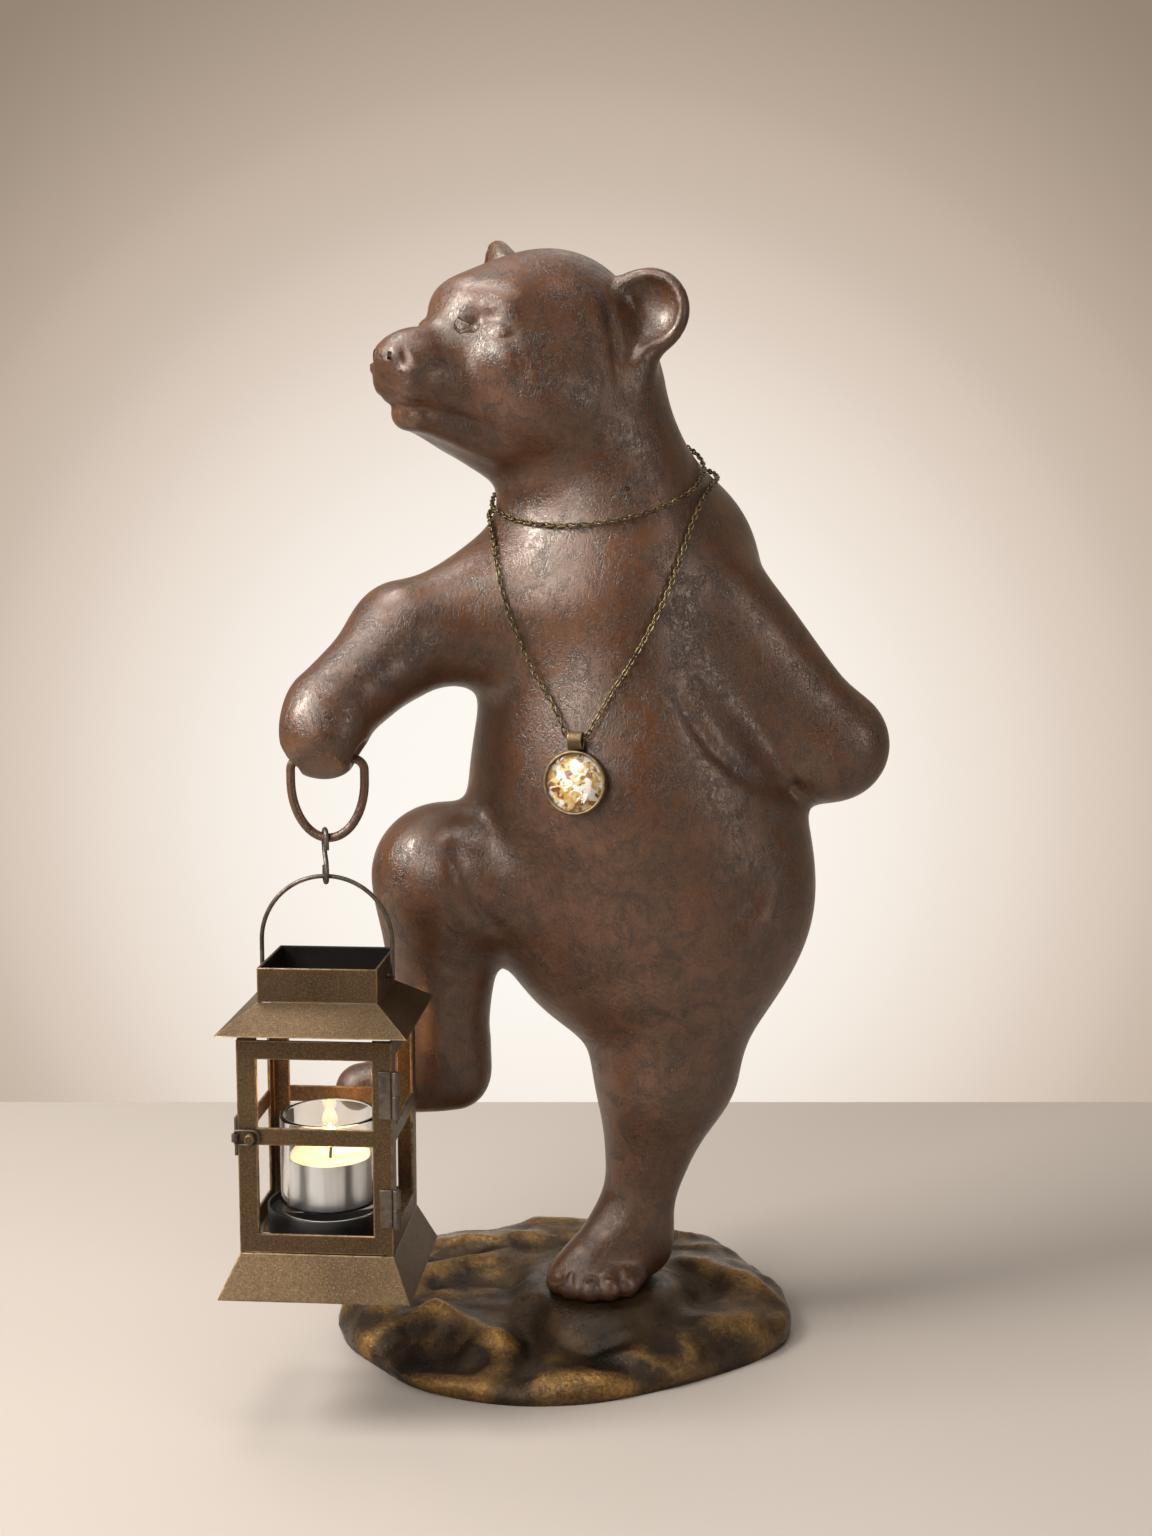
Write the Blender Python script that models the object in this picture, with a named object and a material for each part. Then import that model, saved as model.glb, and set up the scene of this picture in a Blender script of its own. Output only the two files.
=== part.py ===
"""A cast metal bear standing on one leg on a rock, holding out a ring that carries a candle lantern.

World frame: origin under the middle of the rock's flat underside, +Z up, the bear facing -Y.
The lantern hangs at the bear's right paw, at -X.
"""

import math

import bmesh
import bpy
import numpy as np
from mathutils import Matrix, Vector
from mathutils.bvhtree import BVHTree

MM = 0.001
GAP = 0.3 * MM  # left between pieces that touch

# Figure
FIGURE_HEIGHT = 500 * MM
FIGURE_TRIANGLES = 3500
FIGURE_GRID = 3.5  # spacing of the sampling grid, in shares of the height
SHARE = FIGURE_HEIGHT / 500  # the figure's form is written in 500ths of its height

# Rock
ROCK_LENGTH = 226 * MM
ROCK_DEPTH = 178 * MM
SEAT_HEIGHT = 28 * MM  # of the flat pad under the standing foot
SEAT = (19 * MM, -6 * MM, 32 * MM, 34 * MM)  # middle and half widths of the pad
SEAT_BLEND = 0.55  # how far beyond its edge the pad runs out, as a share
SOLE = SEAT_HEIGHT + GAP  # height of the foot's underside
ROCK_EDGE_HEIGHT = 15 * MM

# Ring, hook and bail, all bent from wire
RING_WIRE = 4.0 * MM
RING_WIDTH = 33 * MM  # between the centre lines of its legs
RING_DROP = 35.4 * MM  # from the bar in the paw to the bottom
BORE_CLEARANCE = 0.6 * MM
HOOK_WIRE = 2.2 * MM
LINK_PLAY = 0.6 * MM  # between the hook and the wires in its bends
LANTERN_OFFSET = 1.5 * MM  # from the middle of the ring
HOOK_TURN = math.radians(20)
BAIL_WIRE = 2.0 * MM
BAIL_WIDTH = 59 * MM
BAIL_RISE = 45 * MM  # from its pivot to the top of its arch

# Lantern
SHEET = 1.0 * MM
CAGE_WIDTH = 68 * MM
CAGE_DEPTH = 66 * MM
CAGE_HEIGHT = 96 * MM
STILE = 8.5 * MM
RAIL = 8.5 * MM
MIDDLE_RAIL = 7.5 * MM
MIDDLE_RAIL_RISE = 49 * MM  # from the foot of the cage to the rail's underside
COLLAR_WIDTH = 53 * MM
COLLAR_DEPTH = 46 * MM
COLLAR_HEIGHT = 15 * MM
PIVOT_DROP = 8 * MM  # from the collar's rim down to the bail's pivot
ROOF_OVERHANG = 8 * MM
ROOF_HEIGHT = 11.5 * MM
ROOF_GAP = 3.0 * MM
SKIRT_HEIGHT = 19 * MM
SKIRT_FLARE = 8.5 * MM
DOOR_THICKNESS = 1.2 * MM
HINGE_RADIUS = 1.7 * MM
HINGE_LEAF = 5.5 * MM
LEAF_THICKNESS = 0.7 * MM
HINGES = (("upper", 62 * MM, 21 * MM), ("lower", 13 * MM, 17 * MM))  # rise above the cage's foot, and length
KNOB_RADIUS = 2.1 * MM
KNOB_LENGTH = 4.5 * MM
KNOB_INSET = 6 * MM
LATCH_WIRE = 1.2 * MM
LATCH_HEIGHT = 6.4 * MM
LATCH_PLATE = 1.2 * MM
LATCH_PLATE_HEIGHT = 17 * MM
LATCH_PLATE_DEPTH = 7 * MM
LATCH_RISE = 52.5 * MM  # above the cage's foot
EYE_HEIGHT = 3.4 * MM

# Tray, cup and candle
TRAY_RADIUS = 28.5 * MM
TRAY_HEIGHT = 11.5 * MM
TRAY_FLOOR_RISE = 8 * MM  # from the tray's foot to the top of its raised floor
CUP_RADIUS = 22.5 * MM
CUP_HEIGHT = 44.5 * MM
CUP_WALL = 2.2 * MM
CUP_BASE = 4.0 * MM
CANDLE_RADIUS = 19 * MM
CANDLE_HEIGHT = 21 * MM
CANDLE_WALL = 0.6 * MM
WAX_BELOW_RIM = 1.2 * MM
WICK_RADIUS = 0.7 * MM
WICK_LENGTH = 6 * MM

# Necklace
CHAIN_WIDTH = 2.4 * MM
CHAIN_LIFT = 0.8 * MM  # clears the figure between the points where it is laid
CHAIN_SAG = 7  # of each strand of the lower turn, in shares
CHAIN_STEP = 1.6 * MM  # between the points of the chain where it passes through the strap
NECK_RING = (18, 4, 392)  # middle of the upper turn, in shares
NECK_TILT = (7, 22)  # how far the upper turn rises to the right and to the back, in shares
STRAND_STARTS = ((-31, 375), (62, 385))  # where the lower turn comes over the shoulders, in shares
BELOW_UPPER_TURN = 13  # of the lower turn behind the neck, in shares
UPPER_POINTS = 44
LOWER_POINTS = 80
PENDANT_PLACE = (10.5, 257)  # across and up the belly, in shares
PENDANT_RADIUS = 14.4 * MM
STRAP_WIDTH = 6.5 * MM
STRAP_HEIGHT = 8.5 * MM
STRAP_DEPTH = 5.4 * MM
STRAP_WALL = 0.8 * MM
PENDANT_DEPTH = 5.0 * MM
BEZEL_WALL = 1.1 * MM

HEAD_CENTRE = (-12, -10, 452)
HEAD_YAW = math.radians(225)
HEAD_PITCH = math.radians(12)
HEAD_ROLL = math.radians(6)
NEAR_EAR = (-22, 45, 26)  # middle of its wide part: ahead, left and up of the head's centre
FAR_EAR = (-7, -53.5, 34)
PAW_BORE = (-98.8, -87, 269.4)  # centre of the bore for the ring, in shares

# Folds of the figure, in shares
ARM_CREASE = ((58, -56, 292), (72, -52, 271), (84, -46, 260), (97, -36, 253), (109, -18, 248))
BELLY_CREASE = ((14, -50, 152), (30, -56, 160), (52, -60, 166), (76, -58, 178), (90, -48, 200))
THIGH_CREASE = (
    (-42, -34, 254), (-46, -50, 238), (-47, -53, 222), (-40, -56, 202), (-27, -46, 181), (-13, -42, 168),
)
TOES = ((-2, -22), (5, -28.5), (14, -31), (23, -29), (31, -23))  # ends of the standing foot's toes, in shares
FIGURE_BOX = ((-132, -114, -6), (170, 90, 512))  # holds the whole figure, in shares

# Outline of the rock: angle, and distance as a share of the oval's
ROCK_OUTLINE = (
    (0, 1.01), (28, 1.03), (52, 1.16), (69, 1.12), (88, 1.05), (116, 1.04), (134, 1.12), (158, 1.05),
    (183, 1.01), (202, 0.99), (211, 0.95), (225, 1.02), (259, 1.02), (282, 0.965), (302, 0.89),
    (325, 0.865), (341, 0.92),
)
# Ridges and hollows of the rock's top in mm: from x, y to x, y, half width and height
ROCK_RIDGES = (
    (-96, -46, -62, -36, 9, 5), (-60, -35, -28, -54, 9, 7), (-72, -62, -40, -70, 9, -5),
    (-78, -74, -34, -84, 7, 3), (-12, -34, -13, -72, 9, -6), (-4, -82, 34, -78, 7, 4),
    (12, -58, 16, -60, 11, -4), (40, -56, 84, -26, 13, 4), (-104, -56, -80, -50, 5, -5),
    (-92, 10, -42, 24, 9, 4), (-72, 44, -22, 56, 9, 4),
    (-64, 0, -24, 6, 7, -3), (60, 30, 94, 12, 9, 4), (48, 62, 82, 42, 9, 3), (72, 4, 58, -14, 8, -3),
    (-88, -22, -84, -26, 8, 5), (-20, 80, 30, 74, 10, 4),
)


def clear_scene():
    for obj in list(bpy.data.objects):
        bpy.data.objects.remove(obj, do_unlink=True)


def material(name, colour, roughness, metallic, transmission=0.0):
    made = bpy.data.materials.new(name)
    made.use_nodes = True
    shader = made.node_tree.nodes["Principled BSDF"]
    shader.inputs["Base Color"].default_value = (*colour, 1)
    shader.inputs["Roughness"].default_value = roughness
    shader.inputs["Metallic"].default_value = metallic
    shader.inputs["Transmission Weight"].default_value = transmission
    return made


def add(name, mesh, look, parent=None):
    obj = bpy.data.objects.new(name, mesh)
    bpy.context.scene.collection.objects.link(obj)
    mesh.materials.append(look)
    if parent:
        obj.parent = parent
    return obj


def pivot(name, place, parent=None):
    empty = bpy.data.objects.new(name, None)
    bpy.context.scene.collection.objects.link(empty)
    empty.location = place
    if parent:
        empty.parent = parent
        empty.location = Vector(place) - world_place(parent)
    return empty


def world_place(obj):
    place = Vector(obj.location)
    while obj.parent:
        obj = obj.parent
        place += Vector(obj.location)
    return place


def cast(name, points, faces):
    mesh = bpy.data.meshes.new(name)
    mesh.from_pydata([tuple(p) for p in points], [], [tuple(f) for f in faces])
    mesh.validate()
    return mesh


# Signed distances, negative inside, for points given as three arrays

def frame(yaw, pitch=0.0, roll=0.0):
    """The axes ahead, left and up of something facing along yaw, raised by pitch, leaning left by roll."""
    ahead = np.array([math.cos(yaw) * math.cos(pitch), math.sin(yaw) * math.cos(pitch), math.sin(pitch)])
    left = np.array([-math.sin(yaw), math.cos(yaw), 0.0])
    up = np.cross(ahead, left)
    level = left
    left = level * math.cos(roll) - up * math.sin(roll)
    up = up * math.cos(roll) + level * math.sin(roll)
    return ahead, left, up


def blob(p, centre, radii, axes=None):
    """An ellipsoid."""
    offset = [p[i] - centre[i] for i in range(3)]
    if axes is not None:
        offset = [sum(offset[i] * float(axis[i]) for i in range(3)) for axis in axes]
    near = np.sqrt(sum((offset[i] / radii[i]) ** 2 for i in range(3)))
    far = np.sqrt(sum((offset[i] / radii[i] ** 2) ** 2 for i in range(3)))
    return near * (near - 1) / np.maximum(far, 1e-9)


def limb(p, start, end, start_radius, end_radius):
    """A capsule whose radius changes from one end to the other."""
    along = [end[i] - start[i] for i in range(3)]
    length = sum(a * a for a in along)
    offset = [p[i] - start[i] for i in range(3)]
    share = np.clip(sum(offset[i] * along[i] for i in range(3)) / length, 0, 1)
    away = np.sqrt(sum((offset[i] - share * along[i]) ** 2 for i in range(3)))
    eased = share * share * (3 - 2 * share)
    return away - (start_radius + eased * (end_radius - start_radius))


def chain_of_limbs(p, points, radius):
    """Capsules of one radius from each point to the next."""
    links = [limb(p, one, two, radius, radius) for one, two in zip(points, points[1:])]
    shape = links[0]
    for link in links[1:]:
        shape = np.minimum(shape, link)
    return shape


def join(a, b, blend):
    """Both shapes, with a fillet of about blend where they meet."""
    near = np.maximum(1 - np.abs(a - b) / (1.5 * blend), 0)
    return np.minimum(a, b) - near ** 3 * 0.25 * blend


def carve(a, cutter, blend):
    return -join(-a, cutter, blend)


def head_point(ahead, left, up):
    axes = frame(HEAD_YAW, HEAD_PITCH, HEAD_ROLL)
    return tuple(HEAD_CENTRE[i] + ahead * axes[0][i] + left * axes[1][i] + up * axes[2][i] for i in range(3))


def ear(p, side):
    """A cupped ear, wide above and narrow below; side is 1 for the bear's left and -1 for its right."""
    ahead, left, up = NEAR_EAR if side > 0 else FAR_EAR
    upper = head_point(ahead, left, up)
    lower = head_point(ahead + 5, left - side * 5, up - 20)
    axes = frame(HEAD_YAW + side * math.radians(28), math.radians(2), side * math.radians(-14))
    shell = join(blob(p, upper, (9, 19.5, 19.5), axes), blob(p, lower, (9, 12, 17), axes), 8)
    shell = join(shell, blob(p, head_point(ahead + 6, left - side * 13, up + 4), (8, 13, 9), axes), 6)
    cup = [tuple(c[i] + 9 * axes[0][i] + side * 2 * axes[1][i] for i in range(3)) for c in (upper, lower)]
    hollow = join(blob(p, cup[0], (11.5, 15.5, 16), axes), blob(p, cup[1], (10, 9, 14), axes), 10)
    return carve(shell, hollow, 2.5)


def head(p):
    axes = frame(HEAD_YAW, HEAD_PITCH, HEAD_ROLL)
    shape = blob(p, head_point(-6, 0, 0), (47, 46, 48), axes)
    shape = join(shape, blob(p, head_point(15, 0, -3), (41, 40, 38), axes), 10)
    shape = join(shape, muzzle(p, axes), 12)
    for side in (-1, 1):
        brow = limb(p, head_point(45, side * 7, 9), head_point(38, side * 22, 11), 8, 7)
        shape = join(shape, brow, 12)
        shape = join(shape, blob(p, head_point(10, side * 29, -24), (30, 23, 24), axes), 12)
        notch = limb(p, head_point(55, side * 20, 8), head_point(54, side * 15, -3), 2.2, 5)
        shape = carve(shape, notch, 3)
        socket = limb(p, head_point(52, side * 25, 2), head_point(47, side * 36, -1), 4, 3)
        shape = carve(shape, socket, 4)
        shape = join(shape, blob(p, head_point(37, side * 29, -13), (11, 10, 9), axes), 12)
        shape = join(shape, blob(p, head_point(42, side * 27, -2.5), (6, 6.5, 5), axes), 2)
        shape = join(shape, ear(p, side), 5)
    return shape


def muzzle(p, axes):
    """A square snout with a nose pad, over a narrower jaw set back from it."""
    shape = limb(p, head_point(20, 0, -12), head_point(64, 0, -24), 31, 17)
    for side in (-1, 1):
        lip = limb(p, head_point(30, side * 12, -28), head_point(68, side * 7, -32), 16, 10.5)
        shape = join(shape, lip, 7)
    shape = join(shape, blob(p, head_point(74.5, 0, -23), (9.5, 11.5, 9), axes), 6)
    jaw = limb(p, head_point(12, 0, -38), head_point(62, 0, -44), 23, 8)
    for side in (-1, 1):
        jaw = join(jaw, limb(p, head_point(22, side * 14, -46), head_point(60, side * 6, -45.5), 10, 6), 6)
    shape = join(shape, jaw, 2.5)
    for side in (-1, 1):
        nostril = limb(p, head_point(90, side * 3.6, -24), head_point(81, side * 5.5, -24), 1.9, 1.5)
        shape = carve(shape, nostril, 2)
        crease = limb(p, head_point(82, side * 9.5, -17.5), head_point(80, side * 13.5, -25), 1.3, 2.2)
        shape = carve(shape, crease, 2)
        shape = carve(shape, mouth_line(p, side), 2)
    return shape


def mouth_line(p, side):
    points = [(82, 1.5, -41), (76, 9, -41.5), (62, 16, -42.5), (50, 20.5, -42), (43, 23, -45)]
    return chain_of_limbs(p, [head_point(ahead, side * left, up) for ahead, left, up in points], 1.2)


def trunk(p):
    shape = blob(p, (38, 6, 208), (80, 62, 92))
    shape = join(shape, limb(p, (27, 4, 250), (18, 2, 330), 71.5, 59), 26)
    shape = join(shape, blob(p, (52, 22, 345), (41, 42, 50)), 20)
    shape = join(shape, limb(p, (23, 4, 360), (5, -4, 425), 49, 43), 22)
    return shape


def raised_leg(p):
    shape = limb(p, (0, -10, 202), (-55, -24, 207), 38, 31.5)
    shape = join(shape, limb(p, (-58, -18, 205), (-60, -9, 125), 31, 23), 14)
    shape = join(shape, limb(p, (-54, -8, 104), (-99, -14, 97), 17, 13), 14)
    return shape


def standing_leg(p):
    shape = limb(p, (62, 5, 190), (50, 3, 110), 54, 34)
    shape = join(shape, limb(p, (49, 3, 112), (35, 3, 32), 31, 17), 14)
    shape = join(shape, limb(p, (36, 4, 16), (14, -13, 9), 17, 14), 10)
    shape = join(shape, limb(p, (33, 1, 32), (5, -18, 9), 15, 9), 10)
    return join(shape, toes(p), 5)


def toes(p):
    """Five toes fanned out from the instep."""
    shape = blob(p, (16, -12, 5), (24, 20, 12))
    for x, y in TOES:
        shape = join(shape, limb(p, (0.6 * x + 8, y + 16, 9), (x, y, 5), 6, 6), 3)
    return shape


def right_arm(p):
    shape = limb(p, (-14, -10, 333), (-70, -43, 321), 40, 24.5)
    shape = join(shape, limb(p, (-71, -44, 319), (-98, -80, 291), 22.5, 20), 12)
    shape = join(shape, blob(p, (-101, -87, 280), (18.5, 19, 21)), 8)
    facet = (p[1] + 87) * -0.6 + (p[2] - 280) * -0.8 - 15.5
    shape = join_inside(shape, facet, 3)
    for side in (-1, 1):
        corner = (PAW_BORE[0] + side * RING_WIDTH / 2 / SHARE, PAW_BORE[1], PAW_BORE[2] - 1.5)
        room = RING_WIRE / 2 / SHARE + 3.5
        shape = carve(shape, blob(p, corner, (room, room + 4, room + 4)), 1.5)
    return shape


def join_inside(a, b, blend):
    return -join(-a, -b, blend)


def left_arm(p):
    """The upper arm hangs back to the elbow, and the forearm goes behind the back."""
    shape = limb(p, (64, -2, 332), (126, 3, 269), 34, 25)
    shape = join(shape, limb(p, (66, -8, 306), (116, -2, 262), 26, 18), 12)
    shape = join(shape, limb(p, (129, 6, 266), (78, 58, 246), 25, 20), 10)
    shape = join(shape, blob(p, (66, 64, 244), (20, 14, 18)), 8)
    return shape


def bear(p):
    shape = join(trunk(p), head(p), 16)
    shape = join(shape, raised_leg(p), 12)
    shape = join(shape, standing_leg(p), 18)
    shape = join(shape, right_arm(p), 16)
    shape = join(shape, left_arm(p), 10)
    shape = carve(shape, chain_of_limbs(p, ARM_CREASE, 2), 6)
    shape = carve(shape, chain_of_limbs(p, BELLY_CREASE, 3), 12)
    shape = carve(shape, chain_of_limbs(p, THIGH_CREASE, 1.5), 6)
    return np.maximum(shape, -p[2])


# Meshing a signed distance

def sample(form, low, high, step):
    counts = [int(math.ceil((high[i] - low[i]) / step)) + 1 for i in range(3)]
    axes = [low[i] + step * np.arange(counts[i], dtype=np.float32) for i in range(3)]
    p = (axes[0][:, None, None], axes[1][None, :, None], axes[2][None, None, :])
    return np.broadcast_to(form(p), counts).astype(np.float32)


def untangle(field, step):
    """Fills in grid corners where two sheets of the surface would meet along an edge."""
    for _ in range(6):
        found = 0
        for axis in range(3):
            one, two = (axis + 1) % 3, (axis + 2) % 3
            shape = [field.shape[i] - (i != axis) for i in range(3)]
            corners = []
            for up_one, up_two in ((0, 0), (1, 0), (0, 1), (1, 1)):
                start = [0, 0, 0]
                start[one], start[two] = up_one, up_two
                corners.append(field[tuple(slice(start[i], start[i] + shape[i]) for i in range(3))])
            a, b, c, d = (corner < 0 for corner in corners)
            for crossed, mended in ((a & d & ~b & ~c, corners[1]), (b & c & ~a & ~d, corners[0])):
                mended[crossed] = -0.1 * step
                found += int(crossed.sum())
        if not found:
            return


def net(form, low, high, step):
    """Points and quads of the surface: one point in each grid cell that it passes through."""
    field = sample(form, low, high, step)
    untangle(field, step)
    inside = field < 0
    counts = field.shape
    corners = [(i, j, k) for i in (0, 1) for j in (0, 1) for k in (0, 1)]
    cells = tuple(n - 1 for n in counts)
    held = np.zeros(cells, np.int8)
    for i, j, k in corners:
        held += inside[i:i + cells[0], j:j + cells[1], k:k + cells[2]]
    crossed = (held > 0) & (held < 8)
    index = np.full(cells, -1, np.int64)
    places = np.argwhere(crossed)
    index[crossed] = np.arange(len(places))
    total = np.zeros((len(places), 3))
    number = np.zeros((len(places), 1))
    for start in corners:
        for axis in range(3):
            if start[axis]:
                continue
            end = list(start)
            end[axis] = 1
            a = field[tuple((places + start).T)]
            b = field[tuple((places + end).T)]
            passes = (a < 0) != (b < 0)
            share = np.where(passes, a / np.where(passes, a - b, 1), 0)
            point = np.array(start, float) + share[:, None] * (np.array(end) - np.array(start))
            total += np.where(passes[:, None], point, 0)
            number += passes[:, None]
    points = np.array(low) + step * (places + total / number)
    return points, quads_between(inside, index)


def quads_between(inside, index):
    """A quad round each grid edge whose ends lie on either side of the surface."""
    quads = []
    for axis in range(3):
        one, two = (axis + 1) % 3, (axis + 2) % 3
        whole = [slice(1, -1)] * 3
        whole[axis] = slice(0, -1)
        beyond = list(whole)
        beyond[axis] = slice(1, None)
        starts = inside[tuple(whole)]
        changes = starts != inside[tuple(beyond)]
        at = np.argwhere(changes)
        outward = starts[changes]
        at[:, one] += 1
        at[:, two] += 1
        around = []
        for back_one, back_two in ((1, 1), (0, 1), (0, 0), (1, 0)):
            cell = at.copy()
            cell[:, one] -= back_one
            cell[:, two] -= back_two
            around.append(index[tuple(cell.T)])
        quad = np.stack(around, axis=1)
        quad[~outward] = quad[~outward][:, ::-1]
        quads.append(quad)
    return np.concatenate(quads)


def settle(form, points, step):
    """Moves points straight onto the surface."""
    for _ in range(2):
        here = form(tuple(points.T))
        slopes = []
        for axis in range(3):
            nudge = np.zeros(3)
            nudge[axis] = 0.25 * step
            slopes.append((form(tuple((points + nudge).T)) - form(tuple((points - nudge).T))) / (0.5 * step))
        slope = np.stack(slopes, axis=1)
        size = np.maximum((slope ** 2).sum(axis=1), 0.25)
        move = here[:, None] * slope / size[:, None]
        points = points - np.clip(move, -0.5 * step, 0.5 * step)
    return points


def make_figure(look):
    points, quads = net(bear, *FIGURE_BOX, FIGURE_GRID)
    points = settle(bear, points, FIGURE_GRID)
    points[:, 2] = np.where(points[:, 2] < 0.3 * FIGURE_GRID, 0, points[:, 2])
    points = points * SHARE + np.array([0, 0, SOLE])
    figure = add("bear_figure", cast("bear_figure", points, quads), look)
    figure.data.shade_smooth()
    thin = figure.modifiers.new("fewer triangles", "DECIMATE")
    thin.ratio = FIGURE_TRIANGLES / (2 * len(quads))
    return figure


# Rock

def rock_reach(angle):
    """Distance from the middle to the rock's edge, for arrays of angles."""
    across, deep = ROCK_LENGTH / 2, ROCK_DEPTH / 2
    oval = across * deep / np.hypot(deep * np.cos(angle), across * np.sin(angle))
    turns, shares = zip(*ROCK_OUTLINE)
    spread = [np.interp(np.degrees(angle) + ease, turns, shares, period=360) for ease in (-8, -4, 0, 4, 8)]
    return oval * sum(spread) / len(spread)


def rock_top(x, y):
    """Height of the rock's top, for arrays of places in metres."""
    u, v = x / ROCK_LENGTH, y / ROCK_DEPTH
    height = ROCK_EDGE_HEIGHT * (1.42 + 1.05 * v)
    for x1, y1, x2, y2, width, rise in ROCK_RIDGES:
        along, deep = (x2 - x1) * MM, (y2 - y1) * MM
        share = np.clip(((x - x1 * MM) * along + (y - y1 * MM) * deep) / (along ** 2 + deep ** 2), 0, 1)
        away = np.hypot(x - x1 * MM - share * along, y - y1 * MM - share * deep)
        height = height + rise * MM * np.exp(-(away / (width * MM)) ** 2)
    height = height + 1.0 * MM * np.sin(23 * v + 9 * u + 2 * np.sin(6 * u))
    seat = np.hypot((x - SEAT[0]) / SEAT[2], (y - SEAT[1]) / SEAT[3])
    share = np.clip((seat - 1) / SEAT_BLEND, 0, 1)
    share = share * share * (3 - 2 * share)
    return SEAT_HEIGHT + (height - SEAT_HEIGHT) * share


def make_rock(look, around=48, rings=8):
    """A lump with a flat underside, a round shoulder and a flat pad under the foot."""
    angles = np.arange(around) * 2 * math.pi / around
    reach = rock_reach(angles)
    points = [(0, 0, SEAT_HEIGHT)]
    for ring in range(1, rings + 1):
        share = (ring / rings) ** 0.8
        x, y = share * reach * np.cos(angles), share * reach * np.sin(angles)
        shoulder = np.sqrt(np.clip(1 - share ** 7, 0, 1))
        z = rock_top(x, y) * (0.25 + 0.75 * shoulder)
        points += list(zip(x, y, z))
    points += [(x * 0.985, y * 0.985, 0) for x, y, _ in points[-around:]]
    faces = [(0, 1 + i, 1 + (i + 1) % around) for i in range(around)]
    for ring in range(rings):
        low, high = 1 + ring * around, 1 + (ring + 1) * around
        for i in range(around):
            j = (i + 1) % around
            faces.append((low + i, high + i, high + j, low + j))
    last = 1 + rings * around
    faces.append([last + i for i in reversed(range(around))])
    return add("rock_base", cast("rock_base", points, faces), look)


# Wire

def wire(name, points, width, look, parent, closed=False, sides=8):
    """A bent wire: a curve with a round section through points in world metres."""
    curve = bpy.data.curves.new(name, "CURVE")
    curve.dimensions = "3D"
    curve.bevel_depth = width / 2
    curve.bevel_resolution = sides // 2 - 2
    curve.use_fill_caps = not closed
    line = curve.splines.new("POLY")
    line.points.add(len(points) - 1)
    line.use_cyclic_u = closed
    offset = world_place(parent) if parent else Vector((0, 0, 0))
    for point, place in zip(line.points, points):
        point.co = (*(Vector(place) - offset), 1)
    return add(name, curve, look, parent)


def arc(centre, radius, start, end, steps, height=None):
    """Points in a plane, from start to end in degrees; height stretches the second coordinate."""
    height = radius if height is None else height
    turns = [math.radians(start + (end - start) * i / steps) for i in range(steps + 1)]
    return [(centre[0] + radius * math.cos(t), centre[1] + height * math.sin(t)) for t in turns]


PAW = Vector(PAW_BORE) * SHARE + Vector((0, 0, SOLE))
RING_FOOT = PAW.z - RING_DROP  # centre of the wire at the ring's bottom
RING_CORNER = 5 * MM
HOOK_REACH = RING_WIRE / 2 + LINK_PLAY + HOOK_WIRE / 2
BAIL_REACH = BAIL_WIRE / 2 + LINK_PLAY + HOOK_WIRE / 2
HOOK_SPAN = 23.7 * MM  # between the ring's wire and the bail's
BAIL_TOP = RING_FOOT + HOOK_REACH - HOOK_SPAN + BAIL_REACH
PIVOT = Vector((PAW.x - LANTERN_OFFSET, PAW.y, BAIL_TOP - BAIL_RISE))
RIM = PIVOT.z + PIVOT_DROP
COLLAR_FOOT = RIM - COLLAR_HEIGHT
EAVE = COLLAR_FOOT - ROOF_HEIGHT
CAGE_TOP = EAVE - ROOF_GAP
CAGE_FOOT = CAGE_TOP - CAGE_HEIGHT
CAGE_LEFT = PIVOT.x - CAGE_WIDTH / 2
CAGE_RIGHT = PIVOT.x + CAGE_WIDTH / 2
FRONT = PIVOT.y - CAGE_DEPTH / 2
HINGE_AXIS = Vector((CAGE_RIGHT + HINGE_RADIUS + 0.2 * MM, FRONT - 0.4 * MM, 0))
LATCH_AXIS = Vector((CAGE_LEFT - GAP - LATCH_PLATE / 2, FRONT - 1.7 * MM, CAGE_FOOT + LATCH_RISE))


def make_ring(look, parent):
    half = RING_WIDTH / 2
    bar = [(-half + RING_CORNER, 0), (half - RING_CORNER, 0)]
    right = arc((half - RING_CORNER, -RING_CORNER), RING_CORNER, 90, 0, 3)[1:]
    sweep = arc((0, -10 * MM), half, 0, -180, 20, RING_DROP - 10 * MM)
    left = arc((-half + RING_CORNER, -RING_CORNER), RING_CORNER, 180, 90, 3)[:-1]
    path = bar + right + sweep + left
    points = [PAW + Vector((x, 0, z)) for x, z in path]
    return wire("paw_ring", points, RING_WIRE, look, parent, closed=True)


def make_hook(look, parent):
    """An S of wire: its upper bend rests on the ring, and its lower bend carries the bail."""
    upper = RING_FOOT
    lower = BAIL_TOP
    wide = HOOK_REACH / math.cos(HOOK_TURN)
    narrow = BAIL_REACH / math.cos(HOOK_TURN)
    path = [(-wide, upper - 5 * MM)]
    path += arc((0, upper), wide, 180, 0, 8, HOOK_REACH)
    path += [(wide, upper - 3 * MM), (0.4 * wide, upper - 7.5 * MM), (-0.6 * narrow, lower + 6.5 * MM)]
    path += [(-narrow, lower + 3 * MM)]
    path += arc((0, lower), narrow, 180, 360, 8, BAIL_REACH)
    path += [(narrow, lower + 4.5 * MM)]
    middle = Vector((PIVOT.x, PIVOT.y, 0))
    points = []
    for u, z in path:
        points.append(middle + Vector((-u * math.sin(HOOK_TURN), u * math.cos(HOOK_TURN), z)))
    return wire("s_hook", points, HOOK_WIRE, look, parent)


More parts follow.
